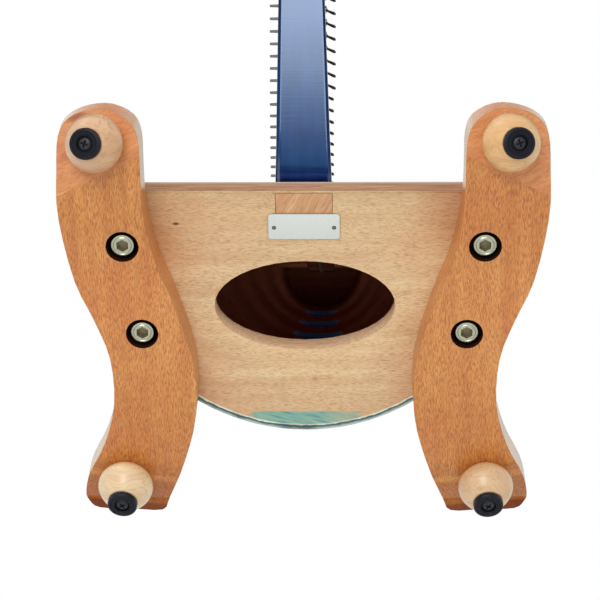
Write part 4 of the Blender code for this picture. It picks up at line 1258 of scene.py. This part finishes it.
def makeStage():
    bpy.ops.object.select_all(action='DESELECT')
    bpy.ops.mesh.primitive_plane_add(size=60, location=(0, 0, -0.0005))
    floor = bpy.context.object
    floor.name = "studioFloor"
    material, tree, shader = newMaterial("paleFloor", 0.9)
    shader.inputs["Base Color"].default_value = linear(240, 240, 240)
    clear = addNode(tree, 'ShaderNodeBsdfTransparent')
    white = addNode(tree, 'ShaderNodeEmission', {"Color": (1, 1, 1, 1), "Strength": 1.0})
    place = addNode(tree, 'ShaderNodeTexCoord')
    away = addNode(tree, 'ShaderNodeVectorMath', {0: place.outputs["Object"]},
                   operation='LENGTH')
    far = smoothStep(tree, away.outputs["Value"], 0.6, 3.2)
    fading = addNode(tree, 'ShaderNodeMixShader', {0: far, 1: shader.outputs[0],
                                                   2: white.outputs[0]})
    side = addNode(tree, 'ShaderNodeNewGeometry')
    mix = addNode(tree, 'ShaderNodeMixShader', {
        0: side.outputs["Backfacing"], 1: fading.outputs[0], 2: clear.outputs[0]})
    tree.links.new(mix.outputs[0], tree.nodes["Material Output"].inputs["Surface"])
    material.cycles.emission_sampling = 'NONE'
    floor.data.materials.append(material)
    floor.visible_shadow = False       # the light from below passes it
    floor.visible_diffuse = False
    floor.visible_glossy = False


def makeLamp(name, at, aim, size, radiance, shiny=True):
    # board places in metres; radiance 1 is white in a mirror
    lamp = bpy.data.lights.new(name, 'AREA')
    lamp.shape = 'DISK'
    lamp.size = size
    lamp.energy = radiance * pi * pi * size * size / 4
    made = bpy.data.objects.new(name, lamp)
    bpy.context.scene.collection.objects.link(made)
    at = toWorld @ Vector(at)
    aim = toWorld @ Vector(aim)
    made.location = at
    made.rotation_euler = (aim - at).to_track_quat('-Z', 'Y').to_euler()
    made.visible_glossy = shiny
    return made


view = {"fromNormal": radians(27), "distance": 1.480, "aimY": 0.0842, "sideX": 0.028,
        "lens": 126.0, "yaw": radians(1.214)}
# a dark patch of the world, seen only by camera rays through the access hole and the sound holes above
# it: painted shade for the dim view through the harp
holeShade = {"side": -0.0126, "down": -0.0105, "inner": radians(1.5), "outer": radians(2.0),
           "colour": (0.001, 0.0032, 0.010, 1.0)}


def viewAxes():
    turn, yaw = view["fromNormal"], view["yaw"]
    right = Vector((1, 0, 0))
    up = Vector((0, -cos(turn), sin(turn)))
    ahead = Vector((0, sin(turn), cos(turn)))
    return right, up, ahead, right * cos(yaw) + ahead * sin(yaw), ahead * cos(yaw) - right * sin(yaw)


def makeWorld(ambient):
    world = bpy.data.worlds.new("studioWorld")
    bpy.context.scene.world = world
    world.use_nodes = True
    tree = world.node_tree
    path = addNode(tree, 'ShaderNodeLightPath')
    seen = sums(tree, 'MAXIMUM', path.outputs["Is Camera Ray"],
                path.outputs["Is Transmission Ray"])
    plain = addNode(tree, 'ShaderNodeBackground', {"Color": (1, 1, 1, 1), "Strength": ambient})
    gloom = addNode(tree, 'ShaderNodeBackground', {"Color": (1, 1, 1, 1), "Strength": 0.02})
    bright = addNode(tree, 'ShaderNodeBackground', {"Color": (1, 1, 1, 1), "Strength": 1.0})
    white = addNode(tree, 'ShaderNodeBackground', {"Color": (1, 1, 1, 1), "Strength": 1.0})
    dark = addNode(tree, 'ShaderNodeBackground', {"Color": holeShade["colour"], "Strength": 1.0})
    right, up, ahead, turnedRight, turnedAhead = viewAxes()
    way = (ahead + right * holeShade["side"] + up * holeShade["down"]).normalized()
    way = toWorld.to_3x3() @ way
    place = addNode(tree, 'ShaderNodeTexCoord')
    toward = addNode(tree, 'ShaderNodeVectorMath', {0: place.outputs["Generated"], 1: way},
                     operation='DOT_PRODUCT').outputs["Value"]
    patch = smoothStep(tree, toward, cos(holeShade["outer"]), cos(holeShade["inner"]))
    # camera rays in the patch see the painted shade
    patched = addNode(tree, 'ShaderNodeMixShader', {
        0: sums(tree, 'MULTIPLY', patch, path.outputs["Is Camera Ray"]), 1: white.outputs[0],
        2: dark.outputs[0]})
    # shiny faces see white low down and in one window high at the back, and dark elsewhere
    window = addNode(tree, 'ShaderNodeVectorMath', {
        0: place.outputs["Generated"], 1: Vector((0.0, 0.44, 0.898))}, operation='DOT_PRODUCT')
    height = addNode(tree, 'ShaderNodeSeparateXYZ', {0: place.outputs["Generated"]}).outputs["Z"]
    flagged = sums(tree, 'SUBTRACT', smoothStep(tree, height, 0.74, 0.86),
                   smoothStep(tree, window.outputs["Value"], 0.975, 0.99), True)
    shiny = addNode(tree, 'ShaderNodeMixShader', {0: flagged, 1: bright.outputs[0],
                                                  2: gloom.outputs[0]})
    lit = addNode(tree, 'ShaderNodeMixShader', {0: path.outputs["Is Glossy Ray"],
                                                1: plain.outputs[0], 2: shiny.outputs[0]})
    mix = addNode(tree, 'ShaderNodeMixShader', {0: seen, 1: lit.outputs[0],
                                                2: patched.outputs[0]})
    tree.links.new(mix.outputs[0], tree.nodes["World Output"].inputs["Surface"])


def makeCamera():
    right, up, ahead, turnedRight, turnedAhead = viewAxes()
    at = Vector((view["sideX"], view["aimY"], 0)) - ahead * view["distance"]
    pose = Matrix((turnedRight, up, -turnedAhead)).transposed().to_4x4()
    data = bpy.data.cameras.new("photoCamera")
    data.sensor_width = 36.0
    data.lens = view["lens"]
    data.clip_end = 100
    camera = bpy.data.objects.new("photoCamera", data)
    bpy.context.scene.collection.objects.link(camera)
    camera.matrix_world = toWorld @ Matrix.Translation(at) @ pose
    bpy.context.scene.camera = camera


def makeSoftbox():
    # the panel that the pillar's lacquer mirrors, brighter toward its top
    s = softbox
    panel = block("frontSoftbox", (-s["half"], -s["away"] - 0.01, s["low"]),
                  (s["half"], -s["away"], s["high"]))
    panel.data.transform(toWorld)
    material = bpy.data.materials.new("softboxGlow")
    material.use_nodes = True
    tree = material.node_tree
    height = addNode(tree, 'ShaderNodeSeparateXYZ', {0: boardVector(tree)}).outputs["Z"]
    share = addNode(tree, 'ShaderNodeMapRange', {
        "Value": height, "From Min": s["low"] * 1000, "From Max": s["full"] * 1000}).outputs[0]
    glow = addNode(tree, 'ShaderNodeEmission', {"Color": ramp(tree, share, s["stops"]),
                                                "Strength": s["strength"]})
    tree.links.new(glow.outputs[0], tree.nodes["Material Output"].inputs["Surface"])
    material.cycles.emission_sampling = 'NONE'
    panel.data.materials.append(material)
    panel.visible_camera = False
    panel.visible_diffuse = False
    panel.visible_transmission = False
    panel.visible_shadow = False


softbox = {"half": 0.2, "away": 0.2, "low": 0.42, "full": 0.8, "high": 1.1, "strength": 3.6,
           "stops": ((0.0, (0, 0, 0)), (0.13, (54, 76, 98)), (0.31, (88, 98, 120)),
                     (0.47, (130, 147, 173)), (0.62, (170, 187, 210)), (1.0, (198, 215, 244)))}
makeStage()
makeSoftbox()
makeWorld(0.74)
makeLamp("underLamp", (-0.35, -1.5, -1.3), (0, 0.1, 0.0), 1.0, 6.0)
makeLamp("frontLamp", (-1.2, -2.2, 1.6), (0, 0.0, 0.5), 1.2, 1.6)
makeLamp("topLamp", (1.0, 1.0, 3.0), (0, 0.2, 0.8), 1.4, 1.4, False)
makeCamera()
bpy.context.scene.view_settings.view_transform = 'Standard'
print("stage, light and camera made")
